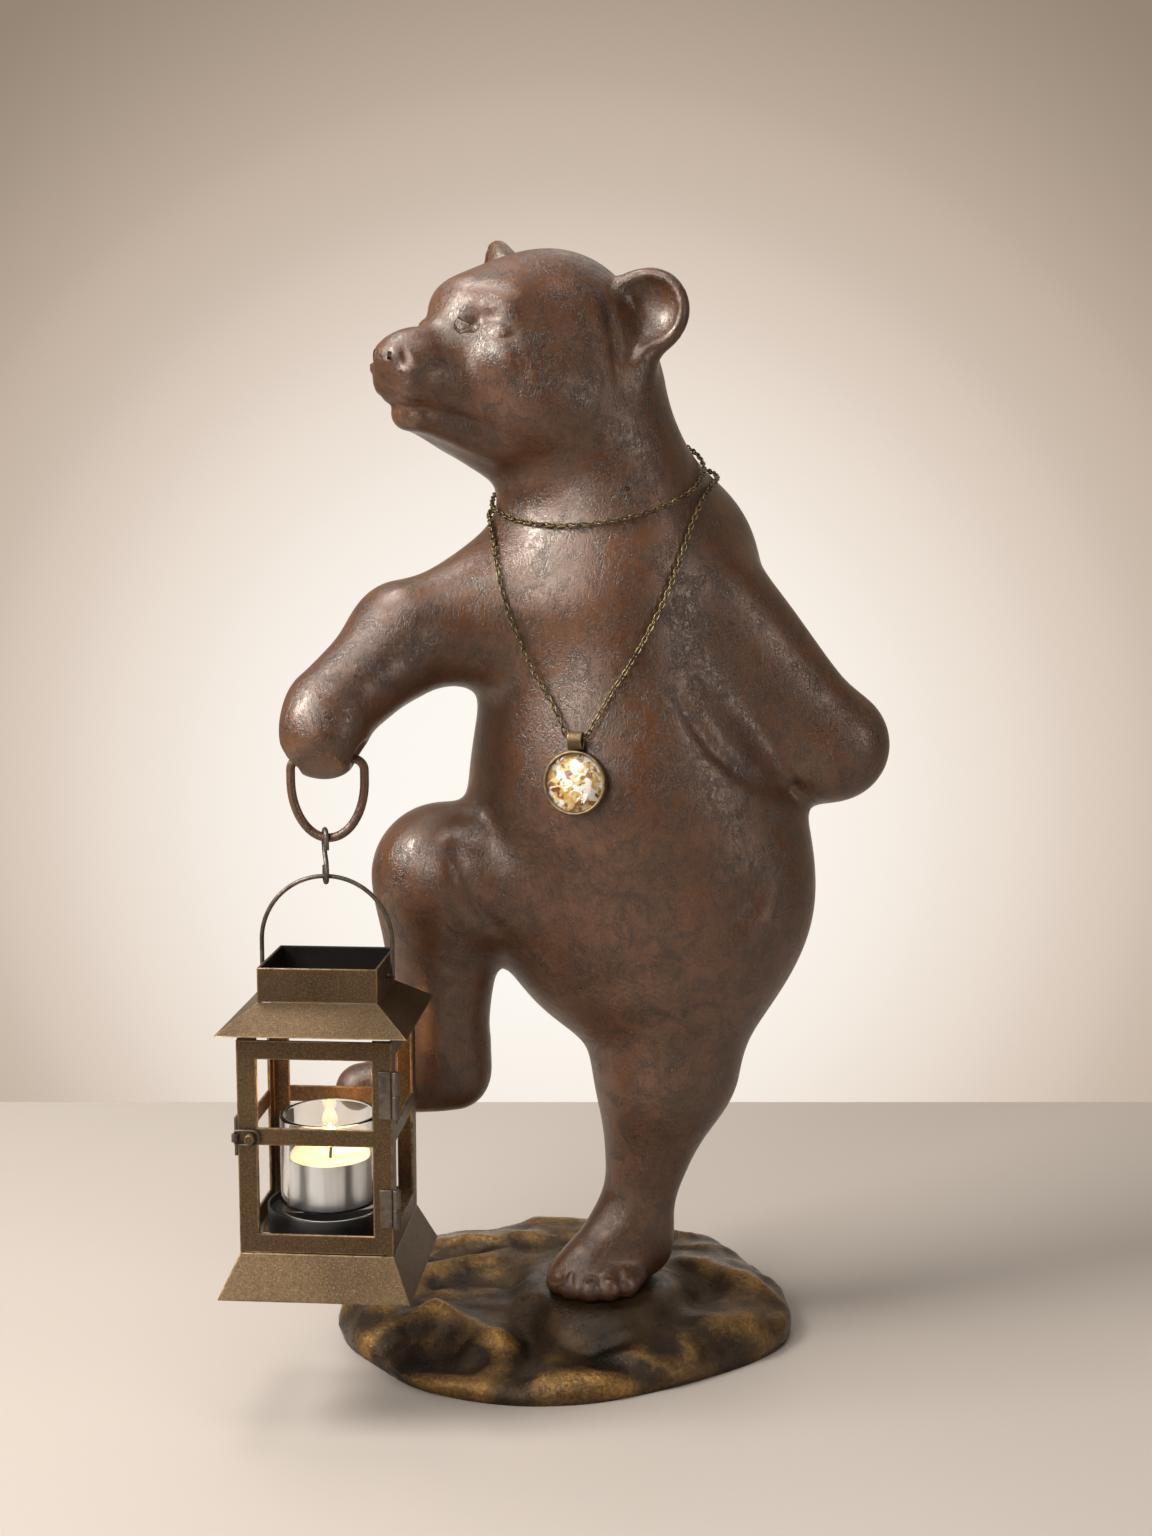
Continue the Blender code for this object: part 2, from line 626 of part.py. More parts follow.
def make_bail(look, parent):
    half = BAIL_WIDTH / 2
    straight = BAIL_RISE - half
    inside = COLLAR_WIDTH / 2 - SHEET - 2.5 * MM
    path = [(-inside, 0), (-half + 1.2 * MM, 0), (-half, 1.2 * MM)]
    path += arc((0, straight), half, 180, 0, 22)
    path += [(half, 1.2 * MM), (half - 1.2 * MM, 0), (inside, 0)]
    points = [PIVOT + Vector((x, 0, z)) for x, z in path]
    return wire("lantern_bail", points, BAIL_WIRE, look, parent)


# Sheet metal

def plate(name, low, high, look, parent):
    """A rectangular piece between two world corners."""
    offset = world_place(parent)
    corners = [[(low, high)[(n >> axis) & 1][axis] - offset[axis] for axis in range(3)] for n in range(8)]
    faces = [(0, 2, 3, 1), (4, 5, 7, 6), (0, 1, 5, 4), (2, 6, 7, 3), (0, 4, 6, 2), (1, 3, 7, 5)]
    return add(name, cast(name, corners, faces), look, parent)


def square_shell(name, sections, look, parent):
    """A hollow four-sided piece.

    Its sections go up the outside and down the inside: half width, half depth and height.
    """
    offset = world_place(parent)
    middle = Vector((PIVOT.x, PIVOT.y, 0))
    points = []
    for wide, deep, height in sections:
        for x, y in ((-1, -1), (1, -1), (1, 1), (-1, 1)):
            points.append(middle + Vector((x * wide, y * deep, height)) - offset)
    faces = []
    for n in range(len(sections)):
        this, following = 4 * n, 4 * ((n + 1) % len(sections))
        for i in range(4):
            j = (i + 1) % 4
            faces.append((this + i, this + j, following + j, following + i))
    return add(name, cast(name, points, faces), look, parent)


def turned(name, profile, look, parent, steps=32, place=None, closed=False):
    """A round piece on the lantern's axis or at place; the profile is radius and height, up the outside.

    A closed profile ends where it starts, and makes a tube.
    """
    points = []
    rings = []
    for radius, height in profile:
        if radius == 0:
            rings.append([len(points)])
            points.append((0, 0, height))
            continue
        rings.append(list(range(len(points), len(points) + steps)))
        for i in range(steps):
            turn = 2 * math.pi * i / steps
            points.append((radius * math.cos(turn), radius * math.sin(turn), height))
    faces = []
    for one, two in zip(rings, rings[1:]):
        for i in range(steps):
            j = (i + 1) % steps
            if len(one) == 1:
                faces.append((one[0], two[j], two[i]))
            elif len(two) == 1:
                faces.append((one[i], one[j], two[0]))
            else:
                faces.append((one[i], one[j], two[j], two[i]))
    if closed:
        faces = [tuple(n % (len(points) - steps) for n in face) for face in faces]
        points = points[:-steps]
    obj = add(name, cast(name, points, faces), look, parent)
    if place:
        obj.matrix_world = place
    else:
        obj.location = Vector((PIVOT.x, PIVOT.y, 0)) - world_place(parent)
    return obj


def cut(obj, cutter):
    cutter.hide_render = True
    cutter.display_type = "WIRE"
    modifier = obj.modifiers.new("cut " + cutter.name, "BOOLEAN")
    modifier.operation = "DIFFERENCE"
    modifier.object = cutter


def rod(name, centre, radius, length, axis, look, parent, steps=12):
    """A solid cylinder about a world point, along the axis 0, 1 or 2."""
    mesh = bpy.data.meshes.new(name)
    shape = bmesh.new()
    bmesh.ops.create_cone(shape, cap_ends=True, segments=steps, radius1=radius, radius2=radius, depth=length)
    shape.to_mesh(mesh)
    shape.free()
    obj = add(name, mesh, look, parent)
    obj.location = Vector(centre) - (world_place(parent) if parent else Vector((0, 0, 0)))
    obj.rotation_euler = ((0, math.pi / 2, 0), (math.pi / 2, 0, 0), (0, 0, 0))[axis]
    return obj


def make_roof_and_collar(look, parent):
    wide, deep = COLLAR_WIDTH / 2, COLLAR_DEPTH / 2
    collar = square_shell("collar", [
        (wide, deep, COLLAR_FOOT),
        (wide, deep, RIM),
        (wide - SHEET, deep - SHEET, RIM),
        (wide - SHEET, deep - SHEET, COLLAR_FOOT),
    ], look, parent)
    hole = rod("pivot_hole", PIVOT, BAIL_WIRE / 2 + BORE_CLEARANCE, 2 * COLLAR_WIDTH, 0, look, parent)
    cut(collar, hole)
    out_wide, out_deep = CAGE_WIDTH / 2 + ROOF_OVERHANG, CAGE_DEPTH / 2 + ROOF_OVERHANG - 1 * MM
    square_shell("roof", [
        (out_wide, out_deep, EAVE),
        (wide, deep, COLLAR_FOOT - GAP),
        (wide - SHEET, deep - SHEET, COLLAR_FOOT - GAP - SHEET),
        (out_wide - 2.5 * SHEET, out_deep - 2.5 * SHEET, EAVE),
    ], look, parent)


def make_skirt_and_floor(look, parent):
    wide, deep = CAGE_WIDTH / 2, CAGE_DEPTH / 2
    foot = CAGE_FOOT - SKIRT_HEIGHT
    top = CAGE_FOOT - GAP
    square_shell("skirt", [
        (wide + SKIRT_FLARE, deep + SKIRT_FLARE, foot),
        (wide, deep, top),
        (wide - SHEET, deep - SHEET, top),
        (wide + SKIRT_FLARE - SHEET, deep + SKIRT_FLARE - SHEET, foot),
    ], look, parent)
    inset = STILE + GAP
    low = (PIVOT.x - wide + inset, PIVOT.y - deep + inset, CAGE_FOOT)
    high = (PIVOT.x + wide - inset, PIVOT.y + deep - inset, CAGE_FOOT + SHEET)
    plate("lantern_floor", low, high, look, parent)


def make_cage(look, parent):
    """Four corner posts folded from sheet, and three rails on each side but the front, which is the door."""
    wide, deep = CAGE_WIDTH / 2, CAGE_DEPTH / 2
    front = DOOR_THICKNESS + GAP
    for x_name, x in (("left", -1), ("right", 1)):
        for y_name, y in (("front", -1), ("back", 1)):
            outer = (PIVOT.x + x * wide, PIVOT.y + y * deep + (front if y < 0 else 0))
            post(f"post_{y_name}_{x_name}", outer, x, y, look, parent)
    heights = {
        "bottom": (CAGE_FOOT, CAGE_FOOT + RAIL),
        "middle": (CAGE_FOOT + MIDDLE_RAIL_RISE, CAGE_FOOT + MIDDLE_RAIL_RISE + MIDDLE_RAIL),
        "top": (CAGE_TOP - RAIL, CAGE_TOP),
    }
    clear = STILE + GAP
    for level, (low, high) in heights.items():
        for x_name, x in (("left", -1), ("right", 1)):
            edges = sorted((PIVOT.x + x * wide, PIVOT.x + x * (wide - SHEET)))
            plate(f"rail_{x_name}_{level}", (edges[0], PIVOT.y - deep + front + clear, low),
                  (edges[1], PIVOT.y + deep - clear, high), look, parent)
        plate(f"rail_back_{level}", (PIVOT.x - wide + clear, PIVOT.y + deep - SHEET, low),
              (PIVOT.x + wide - clear, PIVOT.y + deep, high), look, parent)


def post(name, outer, x, y, look, parent):
    """An upright folded at its outer corner; x and y point away from the lantern's middle."""
    offset = world_place(parent)
    plan = [(0, 0), (STILE, 0), (STILE, SHEET), (SHEET, SHEET), (SHEET, STILE), (0, STILE)]
    if x * y < 0:
        plan.reverse()
    points = []
    for height in (CAGE_FOOT, CAGE_TOP):
        for u, v in plan:
            points.append(Vector((outer[0] - x * u, outer[1] - y * v, height)) - offset)
    count = len(plan)
    faces = [tuple(reversed(range(count))), tuple(range(count, 2 * count))]
    for i in range(count):
        j = (i + 1) % count
        faces.append((i, j, count + j, count + i))
    return add(name, cast(name, points, faces), look, parent)


def make_door(look, parent):
    door = plate("door_frame", (CAGE_LEFT, FRONT, CAGE_FOOT + GAP),
                 (CAGE_RIGHT, FRONT + DOOR_THICKNESS, CAGE_TOP - GAP), look, parent)
    for name, low, high in (
        ("lower_window", CAGE_FOOT + RAIL, CAGE_FOOT + MIDDLE_RAIL_RISE),
        ("upper_window", CAGE_FOOT + MIDDLE_RAIL_RISE + MIDDLE_RAIL, CAGE_TOP - RAIL),
    ):
        near = (CAGE_LEFT + STILE, FRONT - 5 * MM, low)
        far = (CAGE_RIGHT - STILE, FRONT + 6 * MM, high)
        cut(door, plate(name, near, far, look, parent))


def make_hinges(look, door, lantern):
    """Each hinge has a leaf and a lower barrel on the door, and an upper barrel and a leaf on the cage."""
    for name, rise, length in HINGES:
        low = CAGE_FOOT + rise
        middle = low + length / 2
        barrels = ((door, "door", low, middle - GAP / 2), (lantern, "cage", middle + GAP / 2, low + length))
        for owner, part, foot, top in barrels:
            rod(f"hinge_{name}_{part}_barrel", (HINGE_AXIS.x, HINGE_AXIS.y, (foot + top) / 2),
                HINGE_RADIUS, top - foot, 2, look, owner, steps=10)
        plate(f"hinge_{name}_leaf", (CAGE_RIGHT - HINGE_LEAF, FRONT - GAP - LEAF_THICKNESS, low),
              (CAGE_RIGHT - 0.2 * MM, FRONT - GAP, low + length), look, door)


def make_latch(look, loop_look, lantern, door, latch):
    knob = (CAGE_LEFT + KNOB_INSET, FRONT - GAP - KNOB_LENGTH / 2, LATCH_AXIS.z)
    rod("knob", knob, KNOB_RADIUS, KNOB_LENGTH, 1, look, door)
    half = LATCH_PLATE_HEIGHT / 2
    inner = LATCH_WIRE / 2 + 0.25 * MM
    outer = inner + 0.6 * MM
    top = EYE_HEIGHT / 2
    section = [(inner, -top), (outer, -top), (outer, top), (inner, top), (inner, -top)]
    eye = turned("latch_eye", section, look, lantern, steps=12, closed=True)
    eye.location = LATCH_AXIS - world_place(lantern)
    plate_front = LATCH_AXIS.y + outer + GAP
    plate("latch_plate", (CAGE_LEFT - GAP - LATCH_PLATE, plate_front, LATCH_AXIS.z - half),
          (CAGE_LEFT - GAP, plate_front + LATCH_PLATE_DEPTH, LATCH_AXIS.z + half), look, lantern)
    length = knob[0] + KNOB_RADIUS + 1.6 * MM - LATCH_AXIS.x
    half_height = LATCH_HEIGHT / 2
    corner = half_height - EYE_HEIGHT / 2 - 0.3 * MM
    path = arc((corner, half_height - corner), corner, 180, 90, 3)
    path += arc((length - half_height, 0), half_height, 90, -90, 10)
    path += arc((corner, corner - half_height), corner, 270, 180, 3)
    points = [LATCH_AXIS + Vector((x, 0, z)) for x, z in path]
    wire("latch_loop", points, LATCH_WIRE, loop_look, latch, closed=True, sides=6)


def make_candle(tray_look, glass, metal, wax_look, wick_look, parent):
    tray_foot = CAGE_FOOT + SHEET + GAP
    tray_floor = tray_foot + TRAY_FLOOR_RISE
    turned("tray", [
        (0, tray_floor - SHEET),
        (TRAY_RADIUS - SHEET, tray_floor - SHEET),
        (TRAY_RADIUS - SHEET, tray_foot),
        (TRAY_RADIUS, tray_foot),
        (TRAY_RADIUS, tray_foot + TRAY_HEIGHT),
        (TRAY_RADIUS - SHEET, tray_foot + TRAY_HEIGHT),
        (TRAY_RADIUS - SHEET, tray_floor),
        (0, tray_floor),
    ], tray_look, parent, steps=32)
    foot = tray_floor + GAP
    turned("glass_cup", [
        (0, foot),
        (CUP_RADIUS - 1 * MM, foot),
        (CUP_RADIUS, foot + 1 * MM),
        (CUP_RADIUS, foot + CUP_HEIGHT),
        (CUP_RADIUS - CUP_WALL, foot + CUP_HEIGHT),
        (CUP_RADIUS - CUP_WALL, foot + CUP_BASE),
        (0, foot + CUP_BASE),
    ], glass, parent, steps=32)
    candle_foot = foot + CUP_BASE + GAP
    inner = CANDLE_RADIUS - CANDLE_WALL
    turned("candle_cup", [
        (0, candle_foot),
        (CANDLE_RADIUS, candle_foot),
        (CANDLE_RADIUS, candle_foot + CANDLE_HEIGHT),
        (inner, candle_foot + CANDLE_HEIGHT),
        (inner, candle_foot + CANDLE_WALL),
        (0, candle_foot + CANDLE_WALL),
    ], metal, parent, steps=28)
    wax_top = candle_foot + CANDLE_HEIGHT - WAX_BELOW_RIM
    turned("wax", [
        (0, candle_foot + CANDLE_WALL + GAP),
        (inner - GAP, candle_foot + CANDLE_WALL + GAP),
        (inner - GAP, wax_top),
        (0, wax_top),
    ], wax_look, parent, steps=28)
    wick_foot = wax_top + GAP
    middle = (PIVOT.x, PIVOT.y, wick_foot + WICK_LENGTH / 2)
    rod("wick", middle, WICK_RADIUS, WICK_LENGTH, 2, wick_look, parent, steps=8)


# Necklace

def round_neck(tree, angle, lower):
    """A point just off the neck at this angle in plan, on a ring that dips to the front."""
    height = NECK_RING[2] + NECK_TILT[0] * math.cos(angle) + NECK_TILT[1] * math.sin(angle) - lower
    centre = Vector((NECK_RING[0] * SHARE, NECK_RING[1] * SHARE, height * SHARE + SOLE))
    hit, normal, _, _ = tree.ray_cast(centre, Vector((math.cos(angle), math.sin(angle), 0)))
    return hit + (CHAIN_WIDTH / 2 + CHAIN_LIFT) * normal


def on_front(tree, x, height, lift):
    """The place and the outward direction of the bear's front at x across and height up, in shares."""
    start = Vector((x * SHARE, -0.5 * FIGURE_HEIGHT, height * SHARE + SOLE))
    hit, normal, _, _ = tree.ray_cast(start, Vector((0, 1, 0)))
    return hit + lift * normal, normal


def evenly(points, count):
    """A closed path through these points, as count points at equal distances."""
    loop = list(points) + [points[0]]
    reached = [0.0]
    for one, two in zip(loop, loop[1:]):
        reached.append(reached[-1] + (two - one).length)
    spaced = []
    segment = 0
    for i in range(count):
        wanted = reached[-1] * i / count
        while reached[segment + 1] <= wanted:
            segment += 1
        share = (wanted - reached[segment]) / (reached[segment + 1] - reached[segment])
        spaced.append(loop[segment].lerp(loop[segment + 1], share))
    return spaced


def laid(tree, points, lift):
    """A closed path drawn tight over the figure, its points eased and kept at least lift off the figure."""
    for _ in range(12):
        count = len(points)
        points = [(points[i - 1] + 2 * points[i] + points[(i + 1) % count]) / 4 for i in range(count)]
        for i, point in enumerate(points):
            place, normal, _, _ = tree.find_nearest(point)
            outside = (point - place).dot(normal)
            if outside < lift:
                points[i] = place + lift * normal
    return points


def make_necklace(figure, brass_look, glass_look):
    """A chain wound twice: a short upper turn, and a lower turn that carries a round pendant."""
    tree = tree_of(figure)
    lift = CHAIN_WIDTH / 2 + CHAIN_LIFT
    angles = [math.radians(a) for a in range(0, 360, 9)]
    upper = laid(tree, evenly([round_neck(tree, angle, 0) for angle in angles], UPPER_POINTS), lift)
    wire("chain_upper_turn", upper, CHAIN_WIDTH, brass_look, None, closed=True, sides=6)
    hung, outward = on_front(tree, *PENDANT_PLACE, GAP + 0.4 * MM)
    across = Vector((0, 0, 1)).cross(outward).normalized()
    up = outward.cross(across)
    place = Matrix((
        (across.x, up.x, outward.x, hung.x),
        (across.y, up.y, outward.y, hung.y),
        (across.z, up.z, outward.z, hung.z),
        (0, 0, 0, 1),
    ))
    make_pendant(place, brass_look, glass_look)
    strap_top = PENDANT_RADIUS + GAP + STRAP_HEIGHT
    strap = place @ Vector((0, strap_top - STRAP_WALL - CHAIN_WIDTH / 2 - 0.3 * MM, STRAP_DEPTH / 2))
    strands = []
    for start, side in zip(STRAND_STARTS, (-1, 1)):
        end = Vector((strap.x, strap.z - SOLE)) / SHARE + Vector((side * (STRAP_WIDTH / 2 / SHARE + 2), 2))
        strand = []
        for i in range(20):
            share = i / 20
            sag = side * CHAIN_SAG * math.sin(math.pi * share)
            at = Vector(start).lerp(end, share) + Vector((sag, 0))
            strand.append(on_front(tree, at.x, at.y, lift)[0])
        strands.append(strand)
    behind = [round_neck(tree, math.radians(a), BELOW_UPPER_TURN) for a in range(16, 172, 8)]
    points = strands[0] + [strap] + list(reversed(strands[1])) + behind
    lower = laid(tree, evenly(points, LOWER_POINTS), lift)
    nearest = min(range(len(lower)), key=lambda i: (lower[i] - strap).length)
    for i in range(-3, 4):
        lower[(nearest + i) % len(lower)] = strap + across * (i * CHAIN_STEP)
    wire("chain_lower_turn", lower, CHAIN_WIDTH, brass_look, None, closed=True, sides=6)


def make_pendant(place, brass_look, glass_look):
    outer, inner = PENDANT_RADIUS, PENDANT_RADIUS - BEZEL_WALL
    turned("pendant_bezel", [
        (0, 0),
        (outer, 0),
        (outer, PENDANT_DEPTH),
        (inner, PENDANT_DEPTH),
        (inner, BEZEL_WALL),
        (0, BEZEL_WALL),
    ], brass_look, None, steps=36, place=place)
    radius = inner - GAP
    foot = BEZEL_WALL + GAP
    dome = [(radius * math.cos(t), PENDANT_DEPTH + 1.6 * MM * math.sin(t)) for t in (0.5, 0.9, 1.25)]
    turned("pendant_glass", [(0, foot), (radius, foot), (radius, PENDANT_DEPTH)] + dome
           + [(0, PENDANT_DEPTH + 1.6 * MM)], glass_look, None, steps=32, place=place)
    deep, tall = STRAP_DEPTH / 2, STRAP_HEIGHT / 2
    middle = PENDANT_RADIUS + GAP + tall
    points = []
    faces = []
    sides = 16
    for x in (-STRAP_WIDTH / 2, STRAP_WIDTH / 2):
        for wall in (0, STRAP_WALL):
            for i in range(sides):
                turn = 2 * math.pi * i / sides
                high, out = (tall - wall) * math.cos(turn), (deep - wall) * math.sin(turn)
                points.append((x, middle + high, deep + out))
    for i in range(sides):
        j = (i + 1) % sides
        near_out, near_in, far_out, far_in = 0, sides, 2 * sides, 3 * sides
        faces.append((near_out + i, near_out + j, far_out + j, far_out + i))
        faces.append((near_in + i, far_in + i, far_in + j, near_in + j))
        faces.append((near_out + i, near_in + i, near_in + j, near_out + j))
        faces.append((far_out + i, far_out + j, far_in + j, far_in + i))
    strap = add("pendant_strap", cast("pendant_strap", points, faces), brass_look)
    strap.matrix_world = place


def tree_of(obj):
    graph = bpy.context.evaluated_depsgraph_get()
    evaluated = obj.evaluated_get(graph)
    mesh = evaluated.to_mesh()
    points = [obj.matrix_world @ v.co for v in mesh.vertices]
    faces = [tuple(p.vertices) for p in mesh.polygons]
    tree = BVHTree.FromPolygons(points, faces)
    evaluated.to_mesh_clear()
    return tree


def make_bore(figure, look):
    radius = RING_WIRE / 2 + BORE_CLEARANCE
    cut(figure, rod("ring_bore", PAW, radius, 2 * RING_WIDTH, 0, look, None, steps=12))


clear_scene()
bronze = material("brown_patina", (0.16, 0.085, 0.055), 0.38, 0.6)
gilt = material("gilded_rock", (0.13, 0.085, 0.035), 0.4, 0.8)
iron = material("dark_wire", (0.10, 0.085, 0.07), 0.45, 0.8)
brass = material("antique_brass", (0.30, 0.22, 0.12), 0.45, 0.85)
black = material("black_tray", (0.03, 0.028, 0.026), 0.5, 0.5)
silver = material("candle_tin", (0.75, 0.75, 0.76), 0.3, 1.0)
glass = material("clear_glass", (0.95, 0.97, 0.97), 0.03, 0.0, transmission=1.0)
candle_wax = material("wax", (0.95, 0.80, 0.55), 0.5, 0.0)
soot = material("wick", (0.03, 0.025, 0.02), 0.9, 0.0)

figure = make_figure(bronze)
make_necklace(figure, brass, glass)
make_bore(figure, bronze)
make_rock(gilt)
ring = pivot("ring_pivot", PAW)
lantern = pivot("lantern_pivot", PIVOT, ring)
door = pivot("door_pivot", HINGE_AXIS + Vector((0, 0, CAGE_FOOT)), lantern)
latch = pivot("latch_pivot", LATCH_AXIS, lantern)
make_ring(bronze, ring)
make_hook(iron, ring)
make_bail(iron, ring)
make_roof_and_collar(brass, lantern)
make_skirt_and_floor(brass, lantern)
make_cage(brass, lantern)
make_door(brass, door)
make_hinges(brass, door, lantern)
make_latch(brass, iron, lantern, door, latch)
make_candle(black, glass, silver, candle_wax, soot, lantern)
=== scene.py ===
"""The looks of a cast metal bear that holds out a ring with a hanging candle lantern."""

import math

import bmesh
import bpy
import numpy as np
from mathutils import Euler, Matrix, Vector, noise
from mathutils.bvhtree import BVHTree


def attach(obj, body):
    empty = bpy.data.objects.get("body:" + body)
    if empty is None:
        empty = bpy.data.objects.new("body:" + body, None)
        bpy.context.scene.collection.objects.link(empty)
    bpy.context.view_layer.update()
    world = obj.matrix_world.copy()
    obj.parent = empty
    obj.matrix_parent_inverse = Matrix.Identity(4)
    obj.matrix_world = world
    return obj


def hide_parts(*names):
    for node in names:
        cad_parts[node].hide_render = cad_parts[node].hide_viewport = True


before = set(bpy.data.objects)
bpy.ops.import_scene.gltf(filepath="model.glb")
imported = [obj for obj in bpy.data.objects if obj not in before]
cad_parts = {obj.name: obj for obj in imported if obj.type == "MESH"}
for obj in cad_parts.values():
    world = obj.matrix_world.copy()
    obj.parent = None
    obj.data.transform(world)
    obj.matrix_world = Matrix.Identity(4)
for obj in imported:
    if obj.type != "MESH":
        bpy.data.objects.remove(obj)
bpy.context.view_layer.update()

MM = 0.001

GAP = 0.3 * MM  # left between pieces that touch

# Figure
FIGURE_HEIGHT = 500 * MM
FIGURE_TRIANGLES = 3500
FIGURE_GRID = 3.5  # spacing of the sampling grid, in shares of the height
SHARE = FIGURE_HEIGHT / 500  # the figure's form is written in 500ths of its height

# Rock
ROCK_LENGTH = 226 * MM
ROCK_DEPTH = 178 * MM
SEAT_HEIGHT = 28 * MM  # of the flat pad under the standing foot
SEAT = (19 * MM, -6 * MM, 32 * MM, 34 * MM)  # middle and half widths of the pad
SEAT_BLEND = 0.55  # how far beyond its edge the pad runs out, as a share
SOLE = SEAT_HEIGHT + GAP  # height of the foot's underside
ROCK_EDGE_HEIGHT = 15 * MM

# Ring, hook and bail, all bent from wire
RING_WIRE = 4.0 * MM
RING_WIDTH = 33 * MM  # between the centre lines of its legs
RING_DROP = 35.4 * MM  # from the bar in the paw to the bottom
BORE_CLEARANCE = 0.6 * MM
HOOK_WIRE = 2.2 * MM
LINK_PLAY = 0.6 * MM  # between the hook and the wires in its bends
LANTERN_OFFSET = 1.5 * MM  # from the middle of the ring
HOOK_TURN = math.radians(20)
BAIL_WIRE = 2.0 * MM
BAIL_WIDTH = 59 * MM
BAIL_RISE = 45 * MM  # from its pivot to the top of its arch

# Lantern
SHEET = 1.0 * MM
CAGE_WIDTH = 68 * MM
CAGE_DEPTH = 66 * MM
CAGE_HEIGHT = 96 * MM
STILE = 8.5 * MM
RAIL = 8.5 * MM
MIDDLE_RAIL = 7.5 * MM
MIDDLE_RAIL_RISE = 49 * MM  # from the foot of the cage to the rail's underside
COLLAR_WIDTH = 53 * MM
COLLAR_DEPTH = 46 * MM
COLLAR_HEIGHT = 15 * MM
PIVOT_DROP = 8 * MM  # from the collar's rim down to the bail's pivot
ROOF_OVERHANG = 8 * MM
ROOF_HEIGHT = 11.5 * MM
ROOF_GAP = 3.0 * MM
SKIRT_HEIGHT = 19 * MM
SKIRT_FLARE = 8.5 * MM
DOOR_THICKNESS = 1.2 * MM
HINGE_RADIUS = 1.7 * MM
HINGE_LEAF = 5.5 * MM
LEAF_THICKNESS = 0.7 * MM
HINGES = (("upper", 62 * MM, 21 * MM), ("lower", 13 * MM, 17 * MM))  # rise above the cage's foot, and length
KNOB_RADIUS = 2.1 * MM
KNOB_LENGTH = 4.5 * MM
KNOB_INSET = 6 * MM
LATCH_WIRE = 1.2 * MM
LATCH_HEIGHT = 6.4 * MM
LATCH_PLATE = 1.2 * MM
LATCH_PLATE_HEIGHT = 17 * MM
LATCH_PLATE_DEPTH = 7 * MM
LATCH_RISE = 52.5 * MM  # above the cage's foot
EYE_HEIGHT = 3.4 * MM

# Tray, cup and candle
TRAY_RADIUS = 28.5 * MM
TRAY_HEIGHT = 11.5 * MM
TRAY_FLOOR_RISE = 8 * MM  # from the tray's foot to the top of its raised floor
CUP_RADIUS = 22.5 * MM
CUP_HEIGHT = 44.5 * MM
CUP_WALL = 2.2 * MM
CUP_BASE = 4.0 * MM
CANDLE_RADIUS = 19 * MM
CANDLE_HEIGHT = 21 * MM
CANDLE_WALL = 0.6 * MM
WAX_BELOW_RIM = 1.2 * MM
WICK_RADIUS = 0.7 * MM
WICK_LENGTH = 6 * MM

# Necklace
CHAIN_WIDTH = 2.4 * MM
CHAIN_LIFT = 0.8 * MM  # clears the figure between the points where it is laid
CHAIN_SAG = 7  # of each strand of the lower turn, in shares
CHAIN_STEP = 1.6 * MM  # between the points of the chain where it passes through the strap
NECK_RING = (18, 4, 392)  # middle of the upper turn, in shares
NECK_TILT = (7, 22)  # how far the upper turn rises to the right and to the back, in shares
STRAND_STARTS = ((-31, 375), (62, 385))  # where the lower turn comes over the shoulders, in shares
BELOW_UPPER_TURN = 13  # of the lower turn behind the neck, in shares
UPPER_POINTS = 44
LOWER_POINTS = 80
PENDANT_PLACE = (10.5, 257)  # across and up the belly, in shares
PENDANT_RADIUS = 14.4 * MM
STRAP_WIDTH = 6.5 * MM
STRAP_HEIGHT = 8.5 * MM
STRAP_DEPTH = 5.4 * MM
STRAP_WALL = 0.8 * MM
PENDANT_DEPTH = 5.0 * MM
BEZEL_WALL = 1.1 * MM

HEAD_CENTRE = (-12, -10, 452)
HEAD_YAW = math.radians(225)
HEAD_PITCH = math.radians(12)
HEAD_ROLL = math.radians(6)
NEAR_EAR = (-22, 45, 26)  # middle of its wide part: ahead, left and up of the head's centre
FAR_EAR = (-7, -53.5, 34)
PAW_BORE = (-98.8, -87, 269.4)  # centre of the bore for the ring, in shares

# Folds of the figure, in shares
ARM_CREASE = ((58, -56, 292), (72, -52, 271), (84, -46, 260), (97, -36, 253), (109, -18, 248))
BELLY_CREASE = ((14, -50, 152), (30, -56, 160), (52, -60, 166), (76, -58, 178), (90, -48, 200))
THIGH_CREASE = (
    (-42, -34, 254), (-46, -50, 238), (-47, -53, 222), (-40, -56, 202), (-27, -46, 181), (-13, -42, 168),
)
TOES = ((-2, -22), (5, -28.5), (14, -31), (23, -29), (31, -23))  # ends of the standing foot's toes, in shares
FIGURE_BOX = ((-132, -114, -6), (170, 90, 512))  # holds the whole figure, in shares

# Outline of the rock: angle, and distance as a share of the oval's
ROCK_OUTLINE = (
    (0, 1.01), (28, 1.03), (52, 1.16), (69, 1.12), (88, 1.05), (116, 1.04), (134, 1.12), (158, 1.05),
    (183, 1.01), (202, 0.99), (211, 0.95), (225, 1.02), (259, 1.02), (282, 0.965), (302, 0.89),
    (325, 0.865), (341, 0.92),
)
